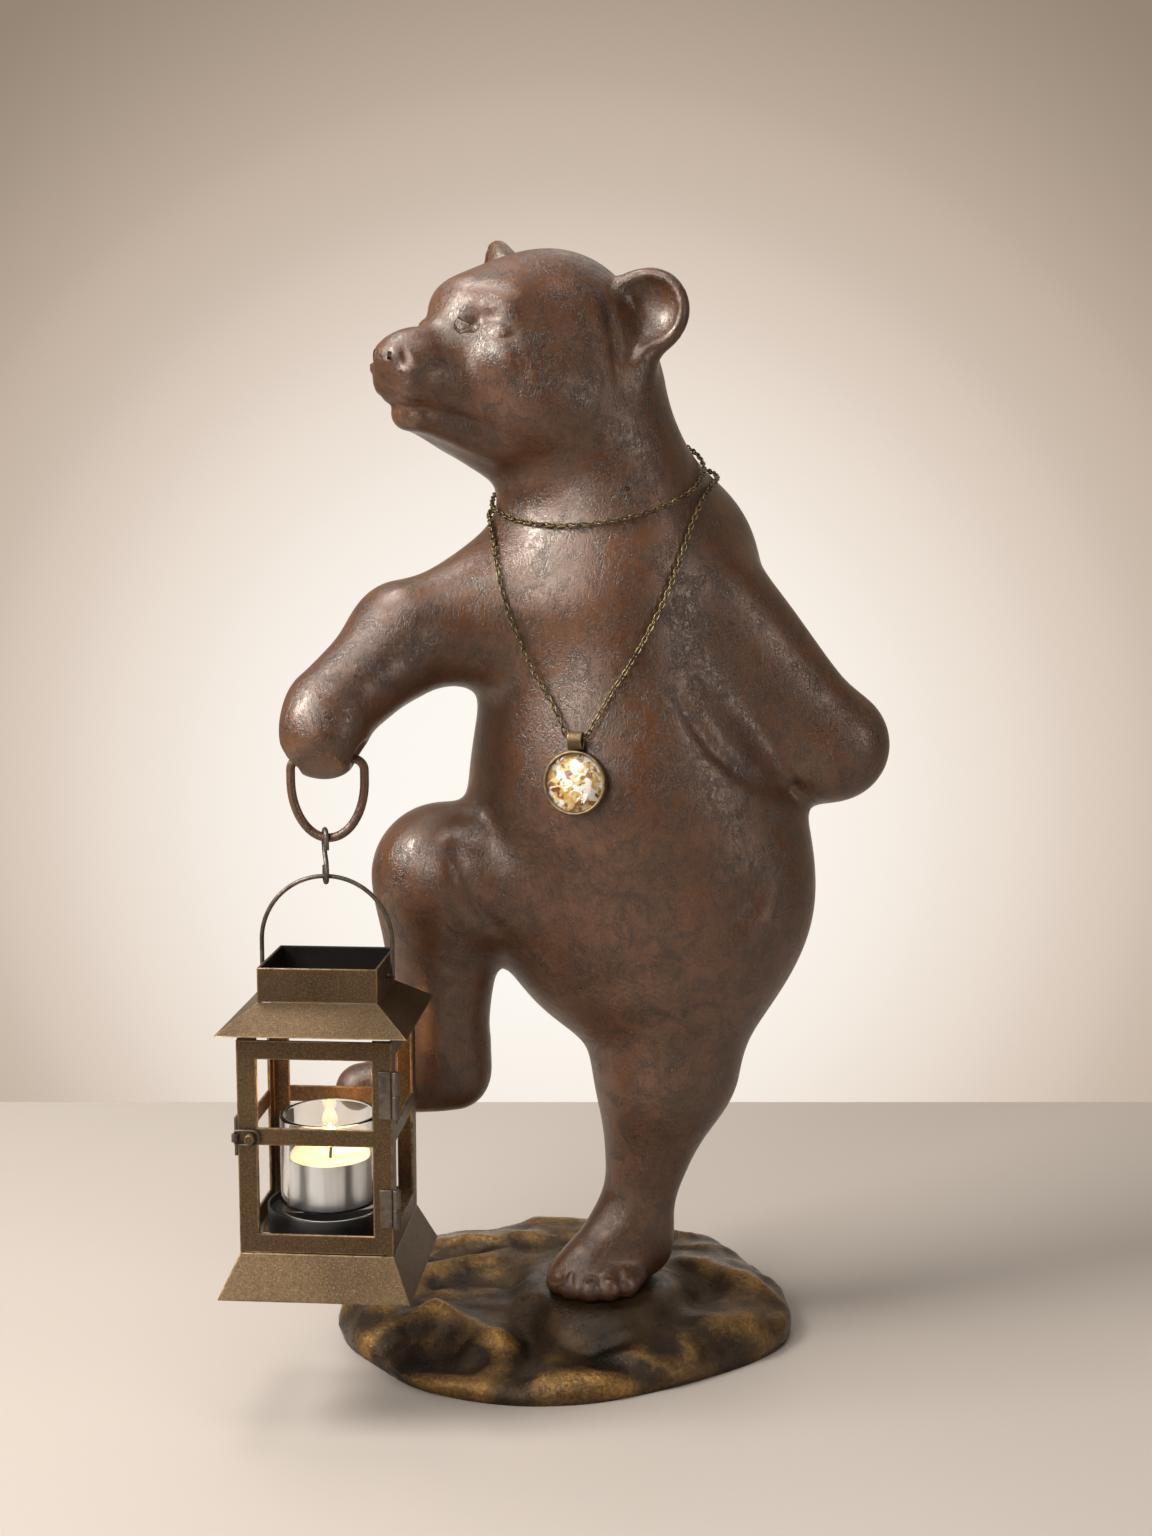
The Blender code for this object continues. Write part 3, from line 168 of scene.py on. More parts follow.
# Ridges and hollows of the rock's top in mm: from x, y to x, y, half width and height
ROCK_RIDGES = (
    (-96, -46, -62, -36, 9, 5), (-60, -35, -28, -54, 9, 7), (-72, -62, -40, -70, 9, -5),
    (-78, -74, -34, -84, 7, 3), (-12, -34, -13, -72, 9, -6), (-4, -82, 34, -78, 7, 4),
    (12, -58, 16, -60, 11, -4), (40, -56, 84, -26, 13, 4), (-104, -56, -80, -50, 5, -5),
    (-92, 10, -42, 24, 9, 4), (-72, 44, -22, 56, 9, 4),
    (-64, 0, -24, 6, 7, -3), (60, 30, 94, 12, 9, 4), (48, 62, 82, 42, 9, 3), (72, 4, 58, -14, 8, -3),
    (-88, -22, -84, -26, 8, 5), (-20, 80, 30, 74, 10, 4),
)


# Only here
BODY_STEP = 2.3
FINE_REGIONS = (((-58, -58, 440), 62), ((10, -20, 5), 48), ((-101, -90, 275), 30))
FLAME_RADIUS = 3.8 * MM
FLAME_HEIGHT = 12.5 * MM
LINK_PITCH = 2.9 * MM
LINK_LENGTH = 3.7 * MM
LINK_WIDTH = 2.1 * MM
LINK_WIRE = 0.85 * MM
SWELL = 0.12 * MM
RUB_WIDTH = 0.45 * MM
RELIEF_REACH = 9 * MM
RELIEF_SPAN = 3.5 * MM
LINK_STEPS = 14
LINK_SIDES = 7
EYE = Vector((0.0734, -0.9315, 0.403))
CAMERA_TURN = Euler((math.radians(90 - 7.3), 0, math.radians(4.2)))
LENS = 45.7
FLOOR_EDGE = 0.383
FLOOR_COLOUR = (0.405, 0.355, 0.31)
WALL_PLACE = 1.7
GLOW_PLACE = (-0.15, 0.0)  # middle of the backdrop's painted pool of light, across and up in metres
GLOW_REACH = 1.28
GLOW_STOPS = (
    (0.2, (252, 247, 239)), (0.39, (243, 233, 222)), (0.52, (228, 214, 201)), (0.63, (209, 193, 178)),
    (0.76, (188, 171, 154)), (1.0, (150, 134, 118)),
)
LANTERN_SHEETS = [(node, "lantern") for node in ("collar", "roof", "skirt", "lantern_floor", "latch_plate", "latch_eye")]
LANTERN_SHEETS += [(f"post_{y}_{x}", "lantern") for x in ("left", "right") for y in ("front", "back")]
LANTERN_SHEETS += [(f"rail_{side}_{level}", "lantern") for side in ("left", "right", "back") for level in ("bottom", "middle", "top")]
LANTERN_SHEETS += [(f"hinge_{name}_cage_barrel", "lantern") for name in ("upper", "lower")]
LANTERN_SHEETS += [(f"hinge_{name}_{part}", "door") for name in ("upper", "lower") for part in ("door_barrel", "leaf")]
LANTERN_SHEETS += [("door_frame", "door"), ("knob", "door")]


PAW = Vector(PAW_BORE) * SHARE + Vector((0, 0, SOLE))
RING_FOOT = PAW.z - RING_DROP  # centre of the wire at the ring's bottom
RING_CORNER = 5 * MM
HOOK_REACH = RING_WIRE / 2 + LINK_PLAY + HOOK_WIRE / 2
BAIL_REACH = BAIL_WIRE / 2 + LINK_PLAY + HOOK_WIRE / 2
HOOK_SPAN = 23.7 * MM  # between the ring's wire and the bail's
BAIL_TOP = RING_FOOT + HOOK_REACH - HOOK_SPAN + BAIL_REACH
PIVOT = Vector((PAW.x - LANTERN_OFFSET, PAW.y, BAIL_TOP - BAIL_RISE))
RIM = PIVOT.z + PIVOT_DROP
COLLAR_FOOT = RIM - COLLAR_HEIGHT
EAVE = COLLAR_FOOT - ROOF_HEIGHT
CAGE_TOP = EAVE - ROOF_GAP
CAGE_FOOT = CAGE_TOP - CAGE_HEIGHT
CAGE_LEFT = PIVOT.x - CAGE_WIDTH / 2
CAGE_RIGHT = PIVOT.x + CAGE_WIDTH / 2
FRONT = PIVOT.y - CAGE_DEPTH / 2
HINGE_AXIS = Vector((CAGE_RIGHT + HINGE_RADIUS + 0.2 * MM, FRONT - 0.4 * MM, 0))
LATCH_AXIS = Vector((CAGE_LEFT - GAP - LATCH_PLATE / 2, FRONT - 1.7 * MM, CAGE_FOOT + LATCH_RISE))



# Signed distances, negative inside, for points given as three arrays

def frame_axes(yaw, pitch=0.0, roll=0.0):
    """The axes ahead, left and up of something facing along yaw, raised by pitch, leaning left by roll."""
    ahead = np.array([math.cos(yaw) * math.cos(pitch), math.sin(yaw) * math.cos(pitch), math.sin(pitch)])
    left = np.array([-math.sin(yaw), math.cos(yaw), 0.0])
    up = np.cross(ahead, left)
    level = left
    left = level * math.cos(roll) - up * math.sin(roll)
    up = up * math.cos(roll) + level * math.sin(roll)
    return ahead, left, up


def blob(p, centre, radii, axes=None):
    """An ellipsoid."""
    offset = [p[i] - centre[i] for i in range(3)]
    if axes is not None:
        offset = [sum(offset[i] * float(axis[i]) for i in range(3)) for axis in axes]
    near = np.sqrt(sum((offset[i] / radii[i]) ** 2 for i in range(3)))
    far = np.sqrt(sum((offset[i] / radii[i] ** 2) ** 2 for i in range(3)))
    return near * (near - 1) / np.maximum(far, 1e-9)


def limb(p, start, end, start_radius, end_radius):
    """A capsule whose radius changes from one end to the other."""
    along = [end[i] - start[i] for i in range(3)]
    length = sum(a * a for a in along)
    offset = [p[i] - start[i] for i in range(3)]
    share = np.clip(sum(offset[i] * along[i] for i in range(3)) / length, 0, 1)
    away = np.sqrt(sum((offset[i] - share * along[i]) ** 2 for i in range(3)))
    eased = share * share * (3 - 2 * share)
    return away - (start_radius + eased * (end_radius - start_radius))


def chain_of_limbs(p, points, radius):
    """Capsules of one radius from each point to the next."""
    links = [limb(p, one, two, radius, radius) for one, two in zip(points, points[1:])]
    shape = links[0]
    for link in links[1:]:
        shape = np.minimum(shape, link)
    return shape


def join(a, b, blend):
    """Both shapes, with a fillet of about blend where they meet."""
    near = np.maximum(1 - np.abs(a - b) / (1.5 * blend), 0)
    return np.minimum(a, b) - near ** 3 * 0.25 * blend


def carve(a, cutter, blend):
    return -join(-a, cutter, blend)


def head_point(ahead, left, up):
    axes = frame_axes(HEAD_YAW, HEAD_PITCH, HEAD_ROLL)
    return tuple(HEAD_CENTRE[i] + ahead * axes[0][i] + left * axes[1][i] + up * axes[2][i] for i in range(3))


def ear(p, side):
    """A cupped ear, wide above and narrow below; side is 1 for the bear's left and -1 for its right."""
    ahead, left, up = NEAR_EAR if side > 0 else FAR_EAR
    upper = head_point(ahead, left, up)
    lower = head_point(ahead + 5, left - side * 5, up - 20)
    axes = frame_axes(HEAD_YAW + side * math.radians(28), math.radians(2), side * math.radians(-14))
    shell = join(blob(p, upper, (9, 19.5, 19.5), axes), blob(p, lower, (9, 12, 17), axes), 8)
    shell = join(shell, blob(p, head_point(ahead + 6, left - side * 13, up + 4), (8, 13, 9), axes), 6)
    cup = [tuple(c[i] + 9 * axes[0][i] + side * 2 * axes[1][i] for i in range(3)) for c in (upper, lower)]
    hollow = join(blob(p, cup[0], (11.5, 15.5, 16), axes), blob(p, cup[1], (10, 9, 14), axes), 10)
    return carve(shell, hollow, 2.5)


def head(p):
    axes = frame_axes(HEAD_YAW, HEAD_PITCH, HEAD_ROLL)
    shape = blob(p, head_point(-6, 0, 0), (47, 46, 48), axes)
    shape = join(shape, blob(p, head_point(15, 0, -3), (41, 40, 38), axes), 10)
    shape = join(shape, muzzle(p, axes), 12)
    for side in (-1, 1):
        brow = limb(p, head_point(45, side * 7, 9), head_point(38, side * 22, 11), 8, 7)
        shape = join(shape, brow, 12)
        shape = join(shape, blob(p, head_point(10, side * 29, -24), (30, 23, 24), axes), 12)
        notch = limb(p, head_point(55, side * 20, 8), head_point(54, side * 15, -3), 2.2, 5)
        shape = carve(shape, notch, 3)
        socket = limb(p, head_point(52, side * 25, 2), head_point(47, side * 36, -1), 4, 3)
        shape = carve(shape, socket, 4)
        shape = join(shape, blob(p, head_point(37, side * 29, -13), (11, 10, 9), axes), 12)
        shape = join(shape, blob(p, head_point(42, side * 27, -2.5), (6, 6.5, 5), axes), 2)
        shape = join(shape, ear(p, side), 5)
    return shape


def muzzle(p, axes):
    """A square snout with a nose pad, over a narrower jaw set back from it."""
    shape = limb(p, head_point(20, 0, -12), head_point(64, 0, -24), 31, 17)
    for side in (-1, 1):
        lip = limb(p, head_point(30, side * 12, -28), head_point(68, side * 7, -32), 16, 10.5)
        shape = join(shape, lip, 7)
    shape = join(shape, blob(p, head_point(74.5, 0, -23), (9.5, 11.5, 9), axes), 6)
    jaw = limb(p, head_point(12, 0, -38), head_point(62, 0, -44), 23, 8)
    for side in (-1, 1):
        jaw = join(jaw, limb(p, head_point(22, side * 14, -46), head_point(60, side * 6, -45.5), 10, 6), 6)
    shape = join(shape, jaw, 2.5)
    for side in (-1, 1):
        nostril = limb(p, head_point(90, side * 3.6, -24), head_point(81, side * 5.5, -24), 1.9, 1.5)
        shape = carve(shape, nostril, 2)
        crease = limb(p, head_point(82, side * 9.5, -17.5), head_point(80, side * 13.5, -25), 1.3, 2.2)
        shape = carve(shape, crease, 2)
        shape = carve(shape, mouth_line(p, side), 2)
    return shape


def mouth_line(p, side):
    points = [(82, 1.5, -41), (76, 9, -41.5), (62, 16, -42.5), (50, 20.5, -42), (43, 23, -45)]
    return chain_of_limbs(p, [head_point(ahead, side * left, up) for ahead, left, up in points], 1.2)


def trunk(p):
    shape = blob(p, (38, 6, 208), (80, 62, 92))
    shape = join(shape, limb(p, (27, 4, 250), (18, 2, 330), 71.5, 59), 26)
    shape = join(shape, blob(p, (52, 22, 345), (41, 42, 50)), 20)
    shape = join(shape, limb(p, (23, 4, 360), (5, -4, 425), 49, 43), 22)
    return shape


def raised_leg(p):
    shape = limb(p, (0, -10, 202), (-55, -24, 207), 38, 31.5)
    shape = join(shape, limb(p, (-58, -18, 205), (-60, -9, 125), 31, 23), 14)
    shape = join(shape, limb(p, (-54, -8, 104), (-99, -14, 97), 17, 13), 14)
    return shape


def standing_leg(p):
    shape = limb(p, (62, 5, 190), (50, 3, 110), 54, 34)
    shape = join(shape, limb(p, (49, 3, 112), (35, 3, 32), 31, 17), 14)
    shape = join(shape, limb(p, (36, 4, 16), (14, -13, 9), 17, 14), 10)
    shape = join(shape, limb(p, (33, 1, 32), (5, -18, 9), 15, 9), 10)
    return join(shape, toes(p), 5)


def toes(p):
    """Five toes fanned out from the instep."""
    shape = blob(p, (16, -12, 5), (24, 20, 12))
    for x, y in TOES:
        shape = join(shape, limb(p, (0.6 * x + 8, y + 16, 9), (x, y, 5), 6, 6), 3)
    return shape


def right_arm(p):
    shape = limb(p, (-14, -10, 333), (-70, -43, 321), 40, 24.5)
    shape = join(shape, limb(p, (-71, -44, 319), (-98, -80, 291), 22.5, 20), 12)
    shape = join(shape, blob(p, (-101, -87, 280), (18.5, 19, 21)), 8)
    facet = (p[1] + 87) * -0.6 + (p[2] - 280) * -0.8 - 15.5
    shape = join_inside(shape, facet, 3)
    for side in (-1, 1):
        corner = (PAW_BORE[0] + side * RING_WIDTH / 2 / SHARE, PAW_BORE[1], PAW_BORE[2] - 1.5)
        room = RING_WIRE / 2 / SHARE + 3.5
        shape = carve(shape, blob(p, corner, (room, room + 4, room + 4)), 1.5)
    return shape


def join_inside(a, b, blend):
    return -join(-a, -b, blend)


def left_arm(p):
    """The upper arm hangs back to the elbow, and the forearm goes behind the back."""
    shape = limb(p, (64, -2, 332), (126, 3, 269), 34, 25)
    shape = join(shape, limb(p, (66, -8, 306), (116, -2, 262), 26, 18), 12)
    shape = join(shape, limb(p, (129, 6, 266), (78, 58, 246), 25, 20), 10)
    shape = join(shape, blob(p, (66, 64, 244), (20, 14, 18)), 8)
    return shape


def bear(p):
    shape = join(trunk(p), head(p), 16)
    shape = join(shape, raised_leg(p), 12)
    shape = join(shape, standing_leg(p), 18)
    shape = join(shape, right_arm(p), 16)
    shape = join(shape, left_arm(p), 10)
    shape = carve(shape, chain_of_limbs(p, ARM_CREASE, 2), 6)
    shape = carve(shape, chain_of_limbs(p, BELLY_CREASE, 3), 12)
    shape = carve(shape, chain_of_limbs(p, THIGH_CREASE, 1.5), 6)
    return np.maximum(shape, -p[2])


# Meshing a signed distance

def sample(form, low, high, step):
    counts = [int(math.ceil((high[i] - low[i]) / step)) + 1 for i in range(3)]
    axes = [low[i] + step * np.arange(counts[i], dtype=np.float32) for i in range(3)]
    p = (axes[0][:, None, None], axes[1][None, :, None], axes[2][None, None, :])
    return np.broadcast_to(form(p), counts).astype(np.float32)


def untangle(field, step):
    """Fills in grid corners where two sheets of the surface would meet along an edge."""
    for _ in range(6):
        found = 0
        for axis in range(3):
            one, two = (axis + 1) % 3, (axis + 2) % 3
            shape = [field.shape[i] - (i != axis) for i in range(3)]
            corners = []
            for up_one, up_two in ((0, 0), (1, 0), (0, 1), (1, 1)):
                start = [0, 0, 0]
                start[one], start[two] = up_one, up_two
                corners.append(field[tuple(slice(start[i], start[i] + shape[i]) for i in range(3))])
            a, b, c, d = (corner < 0 for corner in corners)
            for crossed, mended in ((a & d & ~b & ~c, corners[1]), (b & c & ~a & ~d, corners[0])):
                mended[crossed] = -0.1 * step
                found += int(crossed.sum())
        if not found:
            return


def net(form, low, high, step):
    """Points and quads of the surface: one point in each grid cell that it passes through."""
    field = sample(form, low, high, step)
    untangle(field, step)
    inside = field < 0
    counts = field.shape
    corners = [(i, j, k) for i in (0, 1) for j in (0, 1) for k in (0, 1)]
    cells = tuple(n - 1 for n in counts)
    held = np.zeros(cells, np.int8)
    for i, j, k in corners:
        held += inside[i:i + cells[0], j:j + cells[1], k:k + cells[2]]
    crossed = (held > 0) & (held < 8)
    index = np.full(cells, -1, np.int64)
    places = np.argwhere(crossed)
    index[crossed] = np.arange(len(places))
    total = np.zeros((len(places), 3))
    number = np.zeros((len(places), 1))
    for start in corners:
        for axis in range(3):
            if start[axis]:
                continue
            end = list(start)
            end[axis] = 1
            a = field[tuple((places + start).T)]
            b = field[tuple((places + end).T)]
            passes = (a < 0) != (b < 0)
            share = np.where(passes, a / np.where(passes, a - b, 1), 0)
            point = np.array(start, float) + share[:, None] * (np.array(end) - np.array(start))
            total += np.where(passes[:, None], point, 0)
            number += passes[:, None]
    points = np.array(low) + step * (places + total / number)
    return points, quads_between(inside, index)


def quads_between(inside, index):
    """A quad round each grid edge whose ends lie on either side of the surface."""
    quads = []
    for axis in range(3):
        one, two = (axis + 1) % 3, (axis + 2) % 3
        whole = [slice(1, -1)] * 3
        whole[axis] = slice(0, -1)
        beyond = list(whole)
        beyond[axis] = slice(1, None)
        starts = inside[tuple(whole)]
        changes = starts != inside[tuple(beyond)]
        at = np.argwhere(changes)
        outward = starts[changes]
        at[:, one] += 1
        at[:, two] += 1
        around = []
        for back_one, back_two in ((1, 1), (0, 1), (0, 0), (1, 0)):
            cell = at.copy()
            cell[:, one] -= back_one
            cell[:, two] -= back_two
            around.append(index[tuple(cell.T)])
        quad = np.stack(around, axis=1)
        quad[~outward] = quad[~outward][:, ::-1]
        quads.append(quad)
    return np.concatenate(quads)


def settle(form, points, step, rounds=2):
    """Moves points straight onto the surface."""
    for _ in range(rounds):
        here = form(tuple(points.T))
        slopes = []
        for axis in range(3):
            nudge = np.zeros(3)
            nudge[axis] = 0.25 * step
            slopes.append((form(tuple((points + nudge).T)) - form(tuple((points - nudge).T))) / (0.5 * step))
        slope = np.stack(slopes, axis=1)
        size = np.maximum((slope ** 2).sum(axis=1), 0.25)
        move = here[:, None] * slope / size[:, None]
        points = points - np.clip(move, -0.5 * step, 0.5 * step)
    return points



def rock_reach(angle):
    """Distance from the middle to the rock's edge, for arrays of angles."""
    across, deep = ROCK_LENGTH / 2, ROCK_DEPTH / 2
    oval = across * deep / np.hypot(deep * np.cos(angle), across * np.sin(angle))
    turns, shares = zip(*ROCK_OUTLINE)
    spread = [np.interp(np.degrees(angle) + ease, turns, shares, period=360) for ease in (-8, -4, 0, 4, 8)]
    return oval * sum(spread) / len(spread)


def rock_top(x, y):
    """Height of the rock's top, for arrays of places in metres."""
    u, v = x / ROCK_LENGTH, y / ROCK_DEPTH
    height = ROCK_EDGE_HEIGHT * (1.42 + 1.05 * v)
    for x1, y1, x2, y2, width, rise in ROCK_RIDGES:
        along, deep = (x2 - x1) * MM, (y2 - y1) * MM
        share = np.clip(((x - x1 * MM) * along + (y - y1 * MM) * deep) / (along ** 2 + deep ** 2), 0, 1)
        away = np.hypot(x - x1 * MM - share * along, y - y1 * MM - share * deep)
        height = height + rise * MM * np.exp(-(away / (width * MM)) ** 2)
    height = height + 1.0 * MM * np.sin(23 * v + 9 * u + 2 * np.sin(6 * u))
    seat = np.hypot((x - SEAT[0]) / SEAT[2], (y - SEAT[1]) / SEAT[3])
    share = np.clip((seat - 1) / SEAT_BLEND, 0, 1)
    share = share * share * (3 - 2 * share)
    return SEAT_HEIGHT + (height - SEAT_HEIGHT) * share


def round_neck(tree, angle, lower):
    """A point just off the neck at this angle in plan, on a ring that dips to the front."""
    height = NECK_RING[2] + NECK_TILT[0] * math.cos(angle) + NECK_TILT[1] * math.sin(angle) - lower
    centre = Vector((NECK_RING[0] * SHARE, NECK_RING[1] * SHARE, height * SHARE + SOLE))
    hit, normal, _, _ = tree.ray_cast(centre, Vector((math.cos(angle), math.sin(angle), 0)))
    return hit + (CHAIN_WIDTH / 2 + CHAIN_LIFT) * normal


def on_front(tree, x, height, lift):
    """The place and the outward direction of the bear's front at x across and height up, in shares."""
    start = Vector((x * SHARE, -0.5 * FIGURE_HEIGHT, height * SHARE + SOLE))
    hit, normal, _, _ = tree.ray_cast(start, Vector((0, 1, 0)))
    return hit + lift * normal, normal


def evenly(points, count):
    """A closed path through these points, as count points at equal distances."""
    loop = list(points) + [points[0]]
    reached = [0.0]
    for one, two in zip(loop, loop[1:]):
        reached.append(reached[-1] + (two - one).length)
    spaced = []
    segment = 0
    for i in range(count):
        wanted = reached[-1] * i / count
        while reached[segment + 1] <= wanted:
            segment += 1
        share = (wanted - reached[segment]) / (reached[segment + 1] - reached[segment])
        spaced.append(loop[segment].lerp(loop[segment + 1], share))
    return spaced


def laid(tree, points, lift):
    """A closed path drawn tight over the figure, its points eased and kept at least lift off the figure."""
    for _ in range(12):
        count = len(points)
        points = [(points[i - 1] + 2 * points[i] + points[(i + 1) % count]) / 4 for i in range(count)]
        for i, point in enumerate(points):
            place, normal, _, _ = tree.find_nearest(point)
            outside = (point - place).dot(normal)
            if outside < lift:
                points[i] = place + lift * normal
    return points



# Fine forms of the figure, on top of its main ones

def fine_bear(p):
    shape = bear(p)
    shape = face(p, shape)
    shape = foot_detail(p, shape)
    return paw_detail(p, shape)


def face(p, shape):
    """Eyelids, the wings of the nose, lips and the folds of the cheek."""
    axes = frame_axes(HEAD_YAW, HEAD_PITCH, HEAD_ROLL)
    for side in (-1, 1):
        shape = join(shape, limb(p, head_point(48.5, side * 13, 5), head_point(50, side * 13, -4), 4.5, 6.5), 4)
        shape = carve(shape, limb(p, head_point(54, side * 21.5, 7.5), head_point(53.5, side * 18.5, -2), 1.2, 3.2), 2)
        shape = join(shape, blob(p, head_point(80.6, side * 4.5, -23.5), (3.2, 4.5, 4.0), axes), 2)
        slot = [(86.5, 4.2, -20), (86, 5, -24), (84.5, 8, -26.5)]
        shape = carve(shape, chain_of_limbs(p, [head_point(a, side * b, c) for a, b, c in slot], 1.3), 1.5)
        upper = [(48, 21, -4.6), (49.3, 24, -0.6), (48.5, 28.5, 1.2), (44.5, 33.8, -2.6)]
        lower = [(48, 21, -4.6), (48.8, 25, -6.8), (47, 29.5, -7.4), (44.5, 33.8, -2.6)]
        for lid in (upper, lower):
            shape = join(shape, chain_of_limbs(p, [head_point(a, side * b, c) for a, b, c in lid], 0.8), 1.0)
        shape = join(shape, blob(p, head_point(45.3, side * 32.5, -7.5), (1.7, 1.7, 1.4), axes), 1.0)
        sweep = [(45.5, 35.5, -4), (42, 40.5, -9), (38, 43.5, -17)]
        shape = carve(shape, chain_of_limbs(p, [head_point(a, side * b, c) for a, b, c in sweep], 0.8), 4)
        shape = join(shape, blob(p, head_point(75.5, side * 13, -29), (4.5, 3.2, 2.6), axes), 2)
        fold = [(-2, 43, 22), (-5, 47, 6), (-8, 49, -10), (-10, 48, -24)]
        shape = carve(shape, chain_of_limbs(p, [head_point(a, side * b, c) for a, b, c in fold], 0.5), 5)
        shape = carve(shape, blob(p, head_point(38.5, side * 23, -47), (2.8, 2.8, 2.8), axes), 1.5)
    return shape


def foot_detail(p, shape):
    """Claws on the toes."""
    for x, y in TOES:
        claw = limb(p, (x, y - 1, 11.5), (x - 0.5, y - 4.5, 9.5), 1.5, 1.1)
        shape = join(shape, claw, 0.8)
    return shape


def paw_detail(p, shape):
    half = RING_WIDTH / 2 / SHARE
    bore = limb(p, (PAW_BORE[0] - half, *PAW_BORE[1:]), (PAW_BORE[0] + half, *PAW_BORE[1:]), 2.6, 2.6)
    return carve(shape, bore, 0.8)


# Materials

def new_look(name, colour, roughness, metallic=0.0):
    """A material with its node tree and its main shader."""
    made = bpy.data.materials.new(name)
    made.use_nodes = True
    shader = made.node_tree.nodes["Principled BSDF"]
    shader.inputs["Base Color"].default_value = (*colour, 1)
    shader.inputs["Roughness"].default_value = roughness
    shader.inputs["Metallic"].default_value = metallic
    return made, made.node_tree, shader


def grain(tree, scale, detail=3.0, rough=0.5, twist=0.0, stretch=(1, 1, 1), seed=0.0):
    """Noise over the surface, from 0 to 1; scale is in waves a metre."""
    place = tree.nodes.new("ShaderNodeTexCoord")
    mapping = tree.nodes.new("ShaderNodeMapping")
    mapping.inputs["Scale"].default_value = stretch
    mapping.inputs["Location"].default_value = (seed, seed, seed)
    made = tree.nodes.new("ShaderNodeTexNoise")
    made.inputs["Scale"].default_value = scale
    made.inputs["Detail"].default_value = detail
    made.inputs["Roughness"].default_value = rough
    made.inputs["Distortion"].default_value = twist
    tree.links.new(place.outputs["Object"], mapping.inputs["Vector"])
    tree.links.new(mapping.outputs["Vector"], made.inputs["Vector"])
    return made.outputs["Fac"]


def remap(tree, value, low, high, to_low=0.0, to_high=1.0):
    made = tree.nodes.new("ShaderNodeMapRange")
    made.inputs["From Min"].default_value = low
    made.inputs["From Max"].default_value = high
    made.inputs["To Min"].default_value = to_low
    made.inputs["To Max"].default_value = to_high
    tree.links.new(value, made.inputs["Value"])
    return made.outputs["Result"]


def count(tree, operation, one, two=0.0, three=0.0):
    """A sum of two numbers, each a socket or a plain value."""
    made = tree.nodes.new("ShaderNodeMath")
    made.operation = operation
    for socket, value in zip(made.inputs, (one, two, three)):
        if isinstance(value, (int, float)):
            socket.default_value = value
        else:
            tree.links.new(value, socket)
    return made.outputs["Value"]


def blend(tree, share, one, two, way="MIX"):
    """Two colours mixed; each is a socket or three numbers, and share is a socket or a number."""
    made = tree.nodes.new("ShaderNodeMix")
    made.data_type = "RGBA"
    made.blend_type = way
    made.clamp_factor = True
    for socket, value in ((made.inputs[0], share), (made.inputs[6], one), (made.inputs[7], two)):
        if isinstance(value, (int, float)):
            socket.default_value = value
        elif isinstance(value, tuple):
            socket.default_value = (*value, 1)
        else:
            tree.links.new(value, socket)
    return made.outputs[2]


def attribute(tree, name):
    made = tree.nodes.new("ShaderNodeAttribute")
    made.attribute_name = name
    return made.outputs["Fac"]


def bump(tree, shader, height, distance):
    made = tree.nodes.new("ShaderNodeBump")
    made.inputs["Distance"].default_value = distance
    tree.links.new(height, made.inputs["Height"])
    tree.links.new(made.outputs["Normal"], shader.inputs["Normal"])


def hairlines(tree, scale, stretch, width, seed):
    """Thin crooked strokes: 1 on a stroke and 0 off it."""
    field = grain(tree, scale, 4.0, 0.55, 0.6, stretch, seed)
    off = count(tree, "ABSOLUTE", count(tree, "SUBTRACT", field, 0.5))
    return remap(tree, off, 0.0, width, 1.0, 0.0)


def patina_look():
    """Brown patina: warm and cool patches, darker clouds of fur-like strokes and a soft waxed gloss."""
    made, tree, shader = new_look("brown_patina", (0.15, 0.07, 0.045), 0.4, 0.0)
    patches = remap(tree, grain(tree, 13, 5, 0.6, 0.5), 0.36, 0.66)
    colour = blend(tree, patches, (0.038, 0.0135, 0.0045), (0.088, 0.0325, 0.0105))
    rust = remap(tree, grain(tree, 26, 6, 0.7, 0.8, seed=3.0), 0.52, 0.72)
    colour = blend(tree, count(tree, "MULTIPLY", rust, 0.4), colour, (0.115, 0.036, 0.012))
    dust = remap(tree, grain(tree, 700, 4, 0.7, 0.2, seed=5.0), 0.35, 0.7)
    colour = blend(tree, count(tree, "MULTIPLY", dust, 0.42), colour, (0.185, 0.085, 0.043))
    clouds = remap(tree, grain(tree, 62, 9, 0.78, 1.3, seed=9.0), 0.44, 0.62)
    colour = blend(tree, count(tree, "MULTIPLY", clouds, 0.62), colour, (0.021, 0.010, 0.006))
    long_strokes = hairlines(tree, 230, (1.0, 1.0, 0.36), 0.06, 1.0)
    short_strokes = hairlines(tree, 520, (0.8, 0.8, 1.0), 0.09, 4.0)
    strokes = count(tree, "MAXIMUM", long_strokes, count(tree, "MULTIPLY", short_strokes, 0.8))
    dark = count(tree, "MULTIPLY", strokes, remap(tree, clouds, 0.0, 1.0, 0.22, 0.9))
    colour = blend(tree, count(tree, "MULTIPLY", dark, 0.8), colour, (0.012, 0.006, 0.004))
    tree.links.new(colour, shader.inputs["Base Color"])
    gloss = remap(tree, grain(tree, 90, 6, 0.75, 0.2, seed=2.0), 0.3, 0.7, 0.25, 0.38)
    tree.links.new(gloss, shader.inputs["Roughness"])
    shader.inputs["Specular IOR Level"].default_value = 0.85
    shader.inputs["Specular Tint"].default_value = (1.0, 0.90, 0.81, 1)
    relief = count(tree, "SUBTRACT", count(tree, "MULTIPLY", grain(tree, 260, 5, 0.7, seed=7.0), 0.5), dark)
    bump(tree, shader, relief, 0.16 * MM)
    return made


